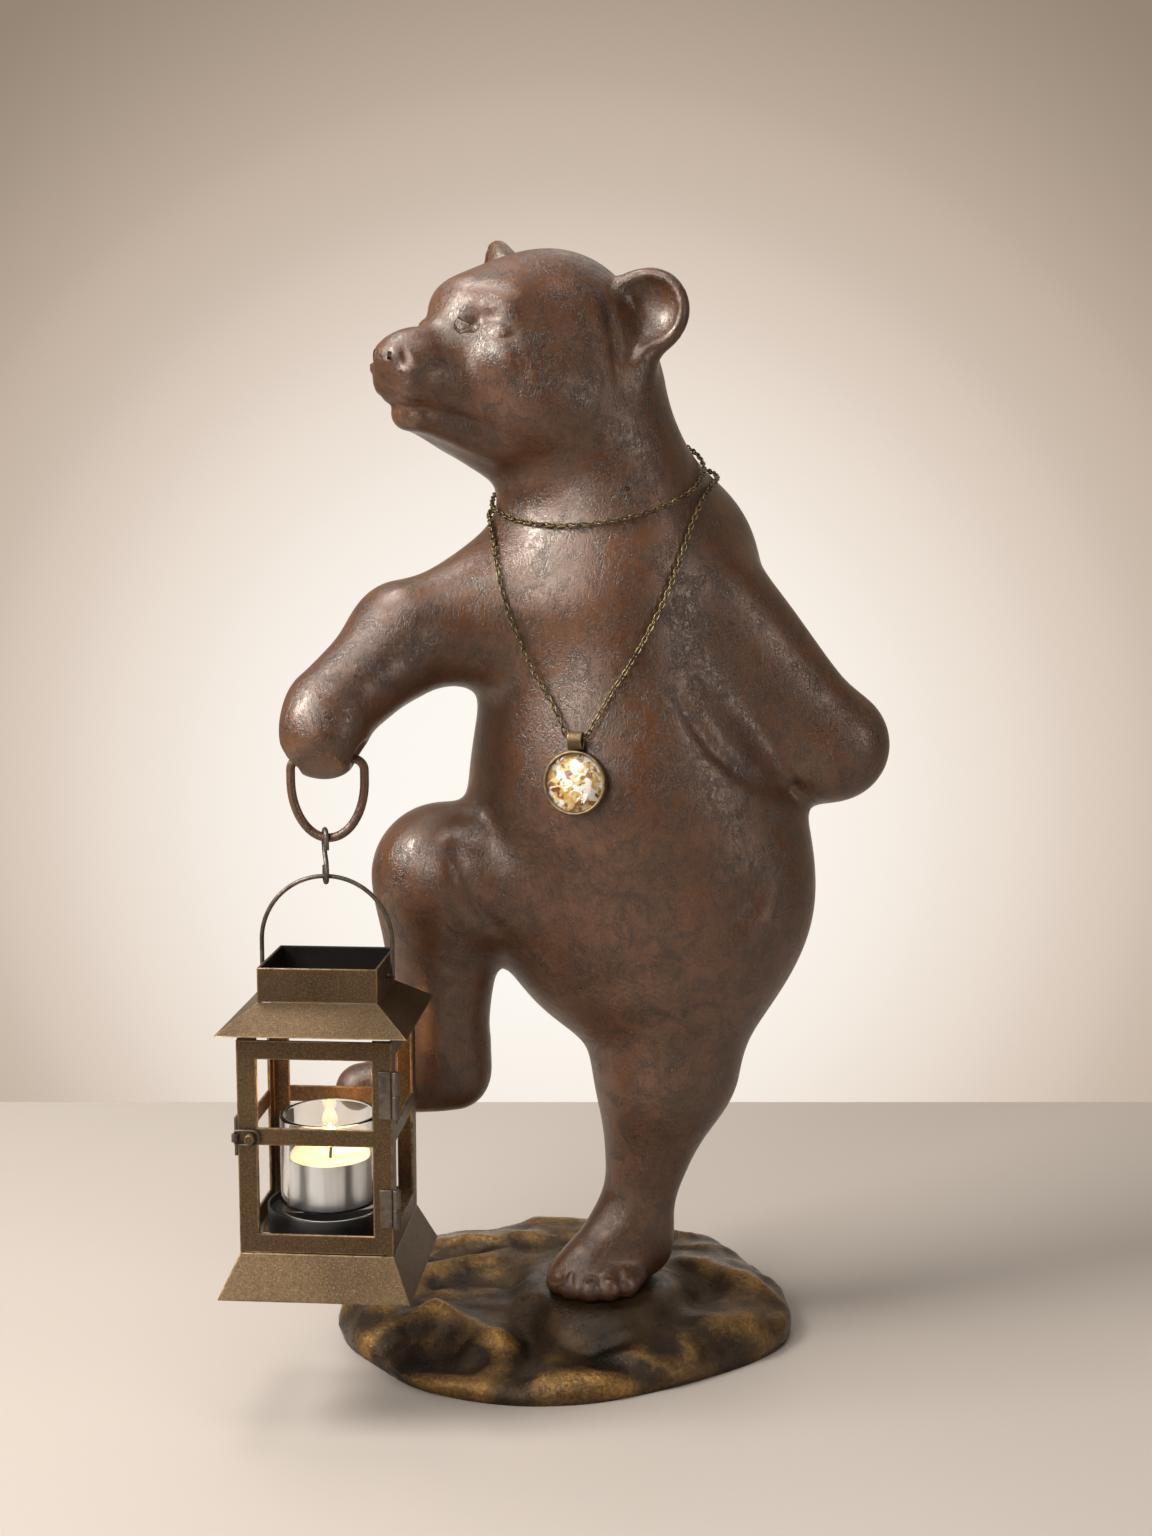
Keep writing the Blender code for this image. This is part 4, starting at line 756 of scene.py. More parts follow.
def rock_look():
    """Dark bronze rubbed with gold on its high places."""
    made, tree, shader = new_look("gilded_rock", (0.05, 0.03, 0.015), 0.35, 0.6)
    high = attribute(tree, "high")
    rub = count(tree, "ADD", high, remap(tree, grain(tree, 75, 7, 0.75, 0.6), 0.3, 0.7, -0.3, 0.3))
    gold = remap(tree, rub, 0.45, 1.25)
    speck = remap(tree, grain(tree, 600, 5, 0.75, seed=4.0), 0.36, 0.58, 0.15, 1.0)
    clouds = remap(tree, grain(tree, 35, 5, 0.6, seed=6.0), 0.35, 0.65)
    dark = blend(tree, clouds, (0.012, 0.007, 0.0035), (0.070, 0.040, 0.017))
    colour = blend(tree, count(tree, "MULTIPLY", gold, speck), dark, (0.38, 0.20, 0.048))
    tree.links.new(colour, shader.inputs["Base Color"])
    tree.links.new(remap(tree, grain(tree, 120, 5, 0.7, seed=8.0), 0.3, 0.7, 0.2, 0.38), shader.inputs["Roughness"])
    bump(tree, shader, grain(tree, 300, 7, 0.78, seed=1.0), 0.5 * MM)
    return made


def brass_look():
    """Aged brass: brown and olive speckle, with lighter worn edges where edge is 1, and painted shade, near black, on
    the collar's inner faces.
    """
    made, tree, shader = new_look("antique_brass", (0.20, 0.14, 0.075), 0.45, 0.75)
    patches = remap(tree, grain(tree, 22, 3, 0.55, 0.3), 0.3, 0.7)
    colour = blend(tree, patches, (0.070, 0.041, 0.018), (0.125, 0.078, 0.036))
    speck = remap(tree, grain(tree, 900, 5, 0.75, seed=2.0), 0.40, 0.60)
    colour = blend(tree, count(tree, "MULTIPLY", speck, 0.5), colour, (0.028, 0.017, 0.009))
    flecks = remap(tree, grain(tree, 1500, 4, 0.75, seed=6.0), 0.52, 0.68)
    colour = blend(tree, count(tree, "MULTIPLY", flecks, 0.4), colour, (0.36, 0.24, 0.11))
    rubbed = remap(tree, grain(tree, 260, 4, 0.7, seed=3.0), 0.33, 0.55)
    worn = count(tree, "MULTIPLY", attribute(tree, "edge"), rubbed)
    colour = blend(tree, count(tree, "MULTIPLY", worn, 0.6), colour, (0.36, 0.25, 0.13))
    # Painted shade: near black on the collar's inner faces, standing in for the shade inside it
    colour = blend(tree, attribute(tree, "painted_inner_shade"), colour, (0.010, 0.009, 0.008))
    tree.links.new(colour, shader.inputs["Base Color"])
    tree.links.new(remap(tree, grain(tree, 700, 5, 0.7, seed=8.0), 0.3, 0.7, 0.36, 0.52), shader.inputs["Roughness"])
    bump(tree, shader, grain(tree, 1100, 4, 0.7, seed=1.0), 0.06 * MM)
    return made


def wire_look(name, light, dark, rough):
    """Darkened wire, lighter where it rubs."""
    made, tree, shader = new_look(name, light, rough, 0.7)
    patches = remap(tree, grain(tree, 160, 5, 0.7, 0.3), 0.35, 0.65)
    tree.links.new(blend(tree, patches, dark, light), shader.inputs["Base Color"])
    tree.links.new(remap(tree, grain(tree, 400, 4, 0.6), 0.3, 0.7, rough - 0.08, rough + 0.1), shader.inputs["Roughness"])
    bump(tree, shader, grain(tree, 900, 4, 0.7, seed=1.0), 0.08 * MM)
    return made


def black_look():
    made, tree, shader = new_look("black_sheet", (0.02, 0.018, 0.017), 0.5, 0.1)
    patches = remap(tree, grain(tree, 120, 5, 0.6), 0.35, 0.65)
    colour = blend(tree, patches, (0.008, 0.007, 0.007), (0.022, 0.019, 0.017))
    worn = count(tree, "MULTIPLY", attribute(tree, "edge"), 0.8)
    tree.links.new(blend(tree, worn, colour, (0.28, 0.23, 0.17)), shader.inputs["Base Color"])
    bump(tree, shader, grain(tree, 700, 3, 0.6), 0.04 * MM)
    return made


def glass_look(name="clear_glass", see_through=1.0):
    made, _, shader = new_look(name, (0.97, 0.98, 0.98), 0.0)
    shader.inputs["Transmission Weight"].default_value = 1.0
    shader.inputs["IOR"].default_value = 1.46
    shader.inputs["Alpha"].default_value = see_through
    return made


def tin_look():
    """Thin bright sheet, crimped down its side."""
    made, tree, shader = new_look("candle_tin", (0.72, 0.72, 0.73), 0.36, 0.9)
    bands = remap(tree, grain(tree, 160, 3, 0.6, 0.2, (1.0, 1.0, 0.06)), 0.35, 0.65)
    tree.links.new(blend(tree, bands, (0.74, 0.74, 0.75), (0.92, 0.92, 0.91)), shader.inputs["Base Color"])
    bump(tree, shader, grain(tree, 300, 3, 0.5, 0.1, (1.0, 1.0, 0.05)), 0.2 * MM)
    return made


def wax_look():
    """Wax with a painted glow: an orange emission stands in for the flame's light shining into the wax."""
    made, tree, shader = new_look("candle_wax", (0.95, 0.87, 0.70), 0.45)
    shader.inputs["Subsurface Weight"].default_value = 0.3
    shader.inputs["Subsurface Radius"].default_value = (0.006, 0.003, 0.0015)
    # Painted light: this emission stands in for the flame's light in the wax
    shader.inputs["Emission Color"].default_value = (1.0, 0.72, 0.36, 1)
    shader.inputs["Emission Strength"].default_value = 0.45
    bump(tree, shader, grain(tree, 250, 3, 0.5), 0.15 * MM)
    return made


def wick_look():
    made, tree, shader = new_look("wick", (0.02, 0.015, 0.012), 0.9)
    bump(tree, shader, grain(tree, 1500, 3, 0.6), 0.2 * MM)
    return made


def flame_look(foot, top):
    """A flame: blue-dark at its foot, white-yellow in the middle and orange at its tip."""
    made, tree, shader = new_look("flame", (0, 0, 0), 1.0)
    place = tree.nodes.new("ShaderNodeTexCoord")
    parts = tree.nodes.new("ShaderNodeSeparateXYZ")
    tree.links.new(place.outputs["Object"], parts.inputs[0])
    rise = remap(tree, parts.outputs["Z"], foot, top)
    ramp = tree.nodes.new("ShaderNodeValToRGB")
    stops = ((0.0, (0.9, 0.25, 0.04)), (0.25, (1.0, 0.55, 0.12)), (0.5, (1.0, 0.80, 0.36)), (1.0, (1.0, 0.58, 0.15)))
    for _ in stops[2:]:
        ramp.color_ramp.elements.new(0.5)
    for element, (position, colour) in zip(ramp.color_ramp.elements, stops):
        element.position = position
        element.color = (*colour, 1)
    tree.links.new(rise, ramp.inputs["Fac"])
    tree.links.new(ramp.outputs["Color"], shader.inputs["Emission Color"])
    shader.inputs["Emission Strength"].default_value = 16.0
    return made


def fleck_look():
    """White, gold and amber flakes."""
    made, tree, shader = new_look("pendant_flecks", (0.6, 0.5, 0.3), 0.3, 0.0)
    place = tree.nodes.new("ShaderNodeTexCoord")
    colours = []
    for scale, stops in (
        (230, ((0.0, (0.85, 0.80, 0.70)), (0.36, (0.62, 0.38, 0.09)), (0.6, (0.86, 0.80, 0.70)), (0.78, (0.30, 0.12, 0.02)))),
        (640, ((0.0, (0.80, 0.74, 0.64)), (0.3, (0.58, 0.34, 0.07)), (0.6, (0.16, 0.07, 0.02)), (0.78, (0.70, 0.52, 0.24)))),
    ):
        cells = tree.nodes.new("ShaderNodeTexVoronoi")
        cells.inputs["Scale"].default_value = scale
        tree.links.new(place.outputs["Object"], cells.inputs["Vector"])
        parts = tree.nodes.new("ShaderNodeSeparateColor")
        tree.links.new(cells.outputs["Color"], parts.inputs["Color"])
        ramp = tree.nodes.new("ShaderNodeValToRGB")
        ramp.color_ramp.interpolation = "CONSTANT"
        for _ in stops[2:]:
            ramp.color_ramp.elements.new(0.5)
        for element, (position, colour) in zip(ramp.color_ramp.elements, stops):
            element.position = position
            element.color = (*colour, 1)
        tree.links.new(parts.outputs["Red"], ramp.inputs["Fac"])
        colours.append(ramp.outputs["Color"])
    share = remap(tree, grain(tree, 210, 3, 0.6, seed=2.0), 0.46, 0.52)
    tree.links.new(blend(tree, share, colours[0], colours[1]), shader.inputs["Base Color"])
    bump(tree, shader, grain(tree, 700, 3, 0.6, seed=3.0), 0.3 * MM)
    return made


# Pieces

def piece(name, data, look, body, slot, *nodes):
    """A new piece of the object, riding on a body and standing for the CAD nodes named."""
    obj = bpy.data.objects.new(name, data)
    bpy.context.scene.collection.objects.link(obj)
    data.materials.clear()
    data.materials.append(look)
    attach(obj, body)
    if nodes:
        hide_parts(*nodes)
    return obj


def cast(name, points, faces):
    mesh = bpy.data.meshes.new(name)
    mesh.from_pydata([tuple(p) for p in points], [], [tuple(f) for f in faces])
    mesh.validate()
    mesh.shade_smooth()
    return mesh


def make_bear(look):
    step = BODY_STEP
    points, quads = net(bear, *FIGURE_BOX, step)
    shape = bmesh.new()
    corners = [shape.verts.new(point) for point in settle(bear, points, step)]
    for quad in quads:
        shape.faces.new([corners[i] for i in quad])
    for place, reach in FINE_REGIONS:
        place = Vector(place)
        near = [e for e in shape.edges if all((v.co - place).length < reach for v in e.verts)]
        bmesh.ops.subdivide_edges(shape, edges=near, cuts=1, use_grid_fill=True)
    points = np.array([v.co for v in shape.verts])
    points = settle(fine_bear, points, step, 4)
    points[:, 2] = np.where(points[:, 2] < 0.3 * step, 0, points[:, 2])
    points = points * SHARE + np.array([0, 0, SOLE])
    for vertex, point in zip(shape.verts, points):
        vertex.co = point
    bmesh.ops.recalc_face_normals(shape, faces=shape.faces)
    mesh = bpy.data.meshes.new("bear")
    shape.to_mesh(mesh)
    shape.free()
    mesh.shade_smooth()
    return piece("bear", mesh, look, "figure", "brown_patina", "bear_figure")


def make_rock(look, around=240, rings=70):
    """The rock's lump again, with finer relief; high is 1 on its ridges and 0 in its hollows."""
    angles = np.arange(around) * 2 * math.pi / around
    reach = rock_reach(angles)
    rows = []
    for ring in range(1, rings + 1):
        share = (ring / rings) ** 0.8
        x, y = share * reach * np.cos(angles), share * reach * np.sin(angles)
        shoulder = np.sqrt(np.clip(1 - share ** 7, 0, 1))
        rows.append((x, y, rock_top(x, y) * (0.25 + 0.75 * shoulder)))
    points = [(0, 0, SEAT_HEIGHT)]
    for x, y, z in rows:
        points += list(zip(x, y, z))
    last = rows[-1]
    points += [(x * 0.985, y * 0.985, 0) for x, y in zip(last[0], last[1])]
    faces = [(0, 1 + i, 1 + (i + 1) % around) for i in range(around)]
    for ring in range(rings):
        low, high = 1 + ring * around, 1 + (ring + 1) * around
        for i in range(around):
            j = (i + 1) % around
            faces.append((low + i, high + i, high + j, low + j))
    foot = 1 + rings * around
    faces.append([foot + i for i in reversed(range(around))])
    mesh = cast("rock", points, faces)
    raise_relief(mesh)
    return piece("rock", mesh, look, "figure", "gilded_rock", "rock_base")


def raise_relief(mesh):
    """Adds folds and pits to the rock, and marks how far each point stands above what is round it."""
    x, y = (np.array([v.co[axis] for v in mesh.vertices]) for axis in (0, 1))
    round_it = sum(rock_top(x + RELIEF_REACH * math.cos(t), y + RELIEF_REACH * math.sin(t)) for t in range(7)) / 7
    stands = (rock_top(x, y) - round_it) / RELIEF_SPAN
    values = []
    moved = []
    for vertex, stand in zip(mesh.vertices, stands):
        place = vertex.co.copy()
        level = math.hypot((place.x - 22 * MM) / (42 * MM), (place.y + 14 * MM) / (42 * MM))
        bent = place + noise.noise_vector(place * 18) * 9 * MM
        folds = 1 - abs(noise.noise(Vector((bent.x * 30, bent.y * 55, bent.z * 40)) + Vector((3, 1, 2)))) * 2.2
        pits = noise.noise(place * 120)
        height = 1.15 * folds + 0.35 * pits
        values.append(0.42 + 0.8 * stand + 0.3 * folds - max(0.0, 1.35 - level) * 1.2)
        away = min(1.0, max(0.0, place.z / (6 * MM)))
        away *= min(1.0, max(0.0, (level - 0.75) / 0.3))
        moved.append(place + vertex.normal * (height - 0.7) * 1.6 * MM * away)
    for vertex, place in zip(mesh.vertices, moved):
        vertex.co = place
    high = mesh.attributes.new("high", "FLOAT", "POINT")
    high.data.foreach_set("value", values)
    mesh.update()


def finer(node, body, look, slot, bevel, dents=0.0, cuts=0.0, shade_test=None):
    """A CAD node again with rounded edges; edge marks them, and dents bends the sheet a little."""
    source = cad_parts[node].data
    shape = bmesh.new()
    shape.from_mesh(source)
    bmesh.ops.remove_doubles(shape, verts=shape.verts, dist=0.002 * MM)
    bmesh.ops.dissolve_limit(shape, angle_limit=math.radians(1), verts=shape.verts, edges=shape.edges)
    sharp = [e for e in shape.edges if len(e.link_faces) == 2 and e.calc_face_angle(0) > math.radians(30)]
    mark = shape.faces.layers.int.new("edge_face")
    made = bmesh.ops.bevel(shape, geom=sharp, offset=bevel, offset_type="OFFSET", segments=2, profile=0.5,
                           affect="EDGES", clamp_overlap=True)
    for face_made in made["faces"]:
        face_made[mark] = 1
    wide = [f for f in shape.faces if not f[mark] and 2 * f.calc_area() / f.calc_perimeter() > 2 * RUB_WIDTH]
    bmesh.ops.inset_region(shape, faces=wide, thickness=RUB_WIDTH, use_boundary=True, use_even_offset=True)
    if cuts:
        bmesh.ops.triangulate(shape, faces=[f for f in shape.faces if len(f.verts) > 4])
        for _ in range(3):
            long_edges = [e for e in shape.edges if e.calc_length() > cuts]
            if not long_edges:
                break
            bmesh.ops.subdivide_edges(shape, edges=long_edges, cuts=1, use_grid_fill=True)
    if dents:
        for vertex in shape.verts:
            place = vertex.co
            vertex.co = place + noise.noise_vector(place * 28) * dents + noise.noise_vector(place * 90) * dents * 0.3
    shape.normal_update()
    for vertex in shape.verts:
        vertex.co += vertex.normal * SWELL
    mesh = bpy.data.meshes.new(node + "_fine")
    values = []
    for vertex in shape.verts:
        marked = sum(f[mark] for f in vertex.link_faces)
        values.append(min(1.0, marked / max(1, len(vertex.link_faces)) * 1.3))
    shape.to_mesh(mesh)
    shape.free()
    edge = mesh.attributes.new("edge", "FLOAT", "POINT")
    edge.data.foreach_set("value", values)
    # Painted shade: marks the points picked by the given test, which the brass look colours near black
    if shade_test:
        painted_inner_shade = mesh.attributes.new("painted_inner_shade", "FLOAT", "POINT")
        painted_inner_shade.data.foreach_set("value", [1.0 if shade_test(v.co) else 0.0 for v in mesh.vertices])
    mesh.shade_smooth()
    mesh.set_sharp_from_angle(angle=math.radians(40))
    return piece(node + "_fine", mesh, look, body, slot, node)


def wire(name, points, width, look, body, slot, nodes=(), closed=False, sides=16):
    curve = bpy.data.curves.new(name, "CURVE")
    curve.dimensions = "3D"
    curve.bevel_depth = width / 2
    curve.bevel_resolution = sides // 2 - 2
    curve.use_fill_caps = not closed
    line = curve.splines.new("POLY")
    line.points.add(len(points) - 1)
    line.use_cyclic_u = closed
    for point, place in zip(line.points, points):
        point.co = (*place, 1)
    return piece(name, curve, look, body, slot, *nodes)


def arc(centre, radius, start, end, steps, height=None):
    """Points in a plane, from start to end in degrees; height stretches the second coordinate."""
    height = radius if height is None else height
    turns = [math.radians(start + (end - start) * i / steps) for i in range(steps + 1)]
    return [(centre[0] + radius * math.cos(t), centre[1] + height * math.sin(t)) for t in turns]


def make_ring(look):
    half = RING_WIDTH / 2
    path = [(-half + RING_CORNER, 0), (half - RING_CORNER, 0)]
    path += arc((half - RING_CORNER, -RING_CORNER), RING_CORNER, 90, 0, 8)[1:]
    path += arc((0, -10 * MM), half, 0, -180, 60, RING_DROP - 10 * MM)
    path += arc((-half + RING_CORNER, -RING_CORNER), RING_CORNER, 180, 90, 8)[:-1]
    points = [PAW + Vector((x, 0, z)) for x, z in path]
    wire("paw_ring_fine", points, RING_WIRE, look, "ring", "brown_patina", ["paw_ring"], closed=True)


def make_hook(look):
    upper, lower = RING_FOOT, BAIL_TOP
    wide = HOOK_REACH / math.cos(HOOK_TURN)
    narrow = BAIL_REACH / math.cos(HOOK_TURN)
    path = [(-wide, upper - 5 * MM)]
    path += arc((0, upper), wide, 180, 0, 20, HOOK_REACH)
    path += [(wide, upper - 3 * MM), (0.4 * wide, upper - 7.5 * MM), (-0.6 * narrow, lower + 6.5 * MM)]
    path += [(-narrow, lower + 3 * MM)]
    path += arc((0, lower), narrow, 180, 360, 20, BAIL_REACH)
    path += [(narrow, lower + 4.5 * MM)]
    middle = Vector((PIVOT.x, PIVOT.y, 0))
    points = [middle + Vector((-u * math.sin(HOOK_TURN), u * math.cos(HOOK_TURN), z)) for u, z in path]
    wire("s_hook_fine", points, HOOK_WIRE, look, "ring", "dark_wire", ["s_hook"])


def make_bail(look):
    half = BAIL_WIDTH / 2
    straight = BAIL_RISE - half
    inside = COLLAR_WIDTH / 2 - SHEET - 2.5 * MM
    path = [(-inside, 0)] + arc((-half + 1.2 * MM, 1.2 * MM), 1.2 * MM, 270, 180, 5)
    path += arc((0, straight), half, 180, 0, 60)
    path += arc((half - 1.2 * MM, 1.2 * MM), 1.2 * MM, 0, -90, 5) + [(inside, 0)]
    points = [PIVOT + Vector((x, 0, z)) for x, z in path]
    wire("lantern_bail_fine", points, BAIL_WIRE, look, "ring", "dark_wire", ["lantern_bail"])


def make_latch_loop(look):
    knob_x = PIVOT.x - CAGE_WIDTH / 2 + KNOB_INSET
    length = knob_x + KNOB_RADIUS + 1.6 * MM - LATCH_AXIS.x
    half_height = LATCH_HEIGHT / 2
    corner = half_height - EYE_HEIGHT / 2 - 0.3 * MM
    path = arc((corner, half_height - corner), corner, 180, 90, 6)
    path += arc((length - half_height, 0), half_height, 90, -90, 24)
    path += arc((corner, corner - half_height), corner, 270, 180, 6)
    points = [LATCH_AXIS + Vector((x, 0, z)) for x, z in path]
    wire("latch_loop_fine", points, LATCH_WIRE, look, "latch", "dark_wire", ["latch_loop"], closed=True, sides=12)


def turned(profile, steps=96, place=None):
    """A round mesh about the lantern's axis or about place; the profile is radius and height."""
    points, rings = [], []
    for radius, height in profile:
        if radius == 0:
            rings.append([len(points)])
            points.append((0, 0, height))
            continue
        rings.append(list(range(len(points), len(points) + steps)))
        for i in range(steps):
            turn = 2 * math.pi * i / steps
            points.append((radius * math.cos(turn), radius * math.sin(turn), height))
    faces = []
    for one, two in zip(rings, rings[1:]):
        for i in range(steps):
            j = (i + 1) % steps
            if len(one) == 1:
                faces.append((one[0], two[j], two[i]))
            elif len(two) == 1:
                faces.append((one[i], one[j], two[0]))
            else:
                faces.append((one[i], one[j], two[j], two[i]))
    place = place or Matrix.Translation((PIVOT.x, PIVOT.y, 0))
    return cast("turned", [place @ Vector(p) for p in points], faces)


def rounded(profile, radius, steps=3):
    """The profile with its inner points rounded off."""
    out = [profile[0]]
    for before, here, after in zip(profile, profile[1:], profile[2:]):
        here, before, after = Vector(here), Vector(before), Vector(after)
        reach = min(radius, (here - before).length * 0.45, (after - here).length * 0.45)
        start = here + (before - here).normalized() * reach
        end = here + (after - here).normalized() * reach
        for i in range(steps + 1):
            t = i / steps
            out.append(tuple(start.lerp(here, t).lerp(here.lerp(end, t), t)))
    return out + [profile[-1]]


def make_candle(looks):
    tray_foot = CAGE_FOOT + SHEET + GAP
    tray_floor = tray_foot + TRAY_FLOOR_RISE
    profile = [
        (0, tray_floor - SHEET), (TRAY_RADIUS - SHEET, tray_floor - SHEET), (TRAY_RADIUS - SHEET, tray_foot),
        (TRAY_RADIUS, tray_foot), (TRAY_RADIUS, tray_foot + TRAY_HEIGHT),
        (TRAY_RADIUS - SHEET, tray_foot + TRAY_HEIGHT), (TRAY_RADIUS - SHEET, tray_floor), (0, tray_floor),
    ]
    piece("tray_fine", turned(rounded(profile, 0.6 * MM)), looks["black"], "lantern", "black_sheet", "tray")
    foot = tray_floor + GAP
    profile = [
        (0, foot), (CUP_RADIUS - 1 * MM, foot), (CUP_RADIUS, foot + 1 * MM), (CUP_RADIUS, foot + CUP_HEIGHT),
        (CUP_RADIUS - CUP_WALL, foot + CUP_HEIGHT), (CUP_RADIUS - CUP_WALL, foot + CUP_BASE), (0, foot + CUP_BASE),
    ]
    piece("glass_cup_fine", turned(rounded(profile, 1.1 * MM, 5)), looks["glass"], "lantern", "clear_glass", "glass_cup")
    candle_foot = foot + CUP_BASE + GAP
    inner = CANDLE_RADIUS - CANDLE_WALL
    profile = [
        (0, candle_foot), (CANDLE_RADIUS, candle_foot), (CANDLE_RADIUS, candle_foot + CANDLE_HEIGHT),
        (inner, candle_foot + CANDLE_HEIGHT), (inner, candle_foot + CANDLE_WALL), (0, candle_foot + CANDLE_WALL),
    ]
    piece("candle_cup_fine", turned(rounded(profile, 0.8 * MM)), looks["tin"], "lantern", "candle_tin", "candle_cup")
    wax_top = candle_foot + CANDLE_HEIGHT - WAX_BELOW_RIM
    wax_foot = candle_foot + CANDLE_WALL + GAP
    edge = inner - GAP
    profile = [(0, wax_foot), (edge, wax_foot), (edge, wax_top)]
    profile += [(edge * s, wax_top - 1.6 * MM * (1 - s * s) ** 0.5) for s in (0.95, 0.85, 0.7, 0.5, 0.3, 0.12)]
    profile += [(0, wax_top - 1.6 * MM)]
    piece("wax_fine", turned(profile), looks["wax"], "lantern", "candle_wax", "wax")
    wick_foot = wax_top - 1.6 * MM
    bend = [Vector((PIVOT.x + 0.8 * MM * s * s, PIVOT.y, wick_foot + s * (WICK_LENGTH + 1.4 * MM))) for s in (0, 0.3, 0.6, 0.85, 1)]
    wire("wick_fine", bend, 2 * WICK_RADIUS, looks["wick"], "lantern", "wick", ["wick"], sides=10)
    make_flame(looks, wax_top + WICK_LENGTH * 0.55)


def make_flame(looks, foot):
    profile = [(0, foot)]
    for i in range(1, 20):
        share = i / 20
        profile.append((FLAME_RADIUS * math.sin(math.pi * share ** 0.62) ** 0.95 * (1 - 0.3 * share), foot + FLAME_HEIGHT * share))
    profile.append((0, foot + FLAME_HEIGHT))
    piece("flame", turned(profile, 32), flame_look(foot, foot + FLAME_HEIGHT), "lantern", "candle_wax")


def link_chain(name, path, look, nodes):
    """Oval links strung along a closed path, each turned a quarter against its neighbours."""
    loop = path + [path[0]]
    length = sum((b - a).length for a, b in zip(loop, loop[1:]))
    number = 2 * round(length / LINK_PITCH / 2)
    spots = evenly(path, number)
    points, faces = [], []
    for n, spot in enumerate(spots):
        along = (spots[(n + 1) % number] - spots[n - 1]).normalized()
        hit, normal, _, _ = figure_tree.find_nearest(spot)
        side = along.cross(normal).normalized()
        up = side.cross(along).normalized()
        turn = math.radians(45 if n % 2 else -45)
        wide = side * math.cos(turn) + up * math.sin(turn)
        thin = up * math.cos(turn) - side * math.sin(turn)
        start = len(points)
        for i in range(LINK_STEPS):
            round_link = 2 * math.pi * i / LINK_STEPS
            c, s = math.cos(round_link), math.sin(round_link)
            centre = spot + along * (LINK_LENGTH / 2 * c) + wide * (LINK_WIDTH / 2 * s)
            outward = (along * (c / LINK_LENGTH) + wide * (s / LINK_WIDTH)).normalized()
            for k in range(LINK_SIDES):
                t = 2 * math.pi * k / LINK_SIDES
                points.append(centre + (outward * math.cos(t) + thin * math.sin(t)) * LINK_WIRE / 2)
        for i in range(LINK_STEPS):
            for k in range(LINK_SIDES):
                a = start + i * LINK_SIDES + k
                b = start + i * LINK_SIDES + (k + 1) % LINK_SIDES
                c = start + (i + 1) % LINK_STEPS * LINK_SIDES + (k + 1) % LINK_SIDES
                d = start + (i + 1) % LINK_STEPS * LINK_SIDES + k
                faces.append((a, b, c, d))
    piece(name, cast(name, points, faces), look, "figure", "antique_brass", *nodes)


def make_necklace(looks):
    """The chain wound twice round the neck, and the round pendant that its lower turn carries."""
    lift = CHAIN_WIDTH / 2 + CHAIN_LIFT
    angles = [math.radians(a) for a in range(0, 360, 9)]
    upper = laid(figure_tree, evenly([round_neck(figure_tree, angle, 0) for angle in angles], UPPER_POINTS), lift)
    link_chain("chain_upper_links", upper, looks["chain"], ["chain_upper_turn"])
    hung, outward = on_front(figure_tree, *PENDANT_PLACE, GAP + 0.4 * MM)
    across = Vector((0, 0, 1)).cross(outward).normalized()
    up = outward.cross(across)
    place = Matrix((
        (across.x, up.x, outward.x, hung.x),
        (across.y, up.y, outward.y, hung.y),
        (across.z, up.z, outward.z, hung.z),
        (0, 0, 0, 1),
    ))
    strap_top = PENDANT_RADIUS + GAP + STRAP_HEIGHT
    strap = place @ Vector((0, strap_top - STRAP_WALL - CHAIN_WIDTH / 2 - 0.3 * MM, STRAP_DEPTH / 2))
    strands = []
    for start, side in zip(STRAND_STARTS, (-1, 1)):
        end = Vector((strap.x, strap.z - SOLE)) / SHARE + Vector((side * (STRAP_WIDTH / 2 / SHARE + 2), 2))
        strand = []
        for i in range(20):
            share = i / 20
            sag = side * CHAIN_SAG * math.sin(math.pi * share)
            at = Vector(start).lerp(end, share) + Vector((sag, 0))
            strand.append(on_front(figure_tree, at.x, at.y, lift)[0])
        strands.append(strand)
    behind = [round_neck(figure_tree, math.radians(a), BELOW_UPPER_TURN) for a in range(16, 172, 8)]
    points = strands[0] + [strap] + list(reversed(strands[1])) + behind
    lower = laid(figure_tree, evenly(points, LOWER_POINTS), lift)
    nearest = min(range(len(lower)), key=lambda i: (lower[i] - strap).length)
    for i in range(-3, 4):
        lower[(nearest + i) % len(lower)] = strap + across * (i * CHAIN_STEP)
    link_chain("chain_lower_links", lower, looks["chain"], ["chain_lower_turn"])
    make_pendant(place, looks)


def make_pendant(place, looks):
    outer, inner = PENDANT_RADIUS, PENDANT_RADIUS - BEZEL_WALL
    profile = [(0, 0), (outer, 0), (outer, PENDANT_DEPTH), (inner, PENDANT_DEPTH), (inner, BEZEL_WALL), (0, BEZEL_WALL)]
    bezel = piece("pendant_bezel_fine", turned(rounded(profile, 0.5 * MM), 96, place), looks["brass"], "figure", "antique_brass", "pendant_bezel")
    edge = bezel.data.attributes.new("edge", "FLOAT", "POINT")
    into = place.inverted()
    edge.data.foreach_set("value", [1.0 if (into @ v.co).z > PENDANT_DEPTH - 0.7 * MM else 0.0 for v in bezel.data.vertices])
    radius = inner - GAP
    foot = BEZEL_WALL + GAP
    flat = foot + 1.6 * MM
    piece("pendant_flecks", turned([(0, foot), (radius, foot), (radius, flat), (0, flat)], 64, place), looks["flecks"], "figure", "pendant_glass")
    rise = flat + 0.05 * MM
    profile = [(0, rise), (radius, rise), (radius, PENDANT_DEPTH - 0.3 * MM)]
    crown = 1.9 * MM
    for i in range(1, 12):
        turn = math.pi / 2 * i / 12
        profile.append((radius * math.cos(turn), PENDANT_DEPTH - 0.3 * MM + crown * math.sin(turn)))
    profile.append((0, PENDANT_DEPTH - 0.3 * MM + crown))
    piece("pendant_dome", turned(profile, 64, place), looks["dome"], "figure", "pendant_glass", "pendant_glass")
    finer("pendant_strap", "figure", looks["brass"], "antique_brass", 0.25 * MM)


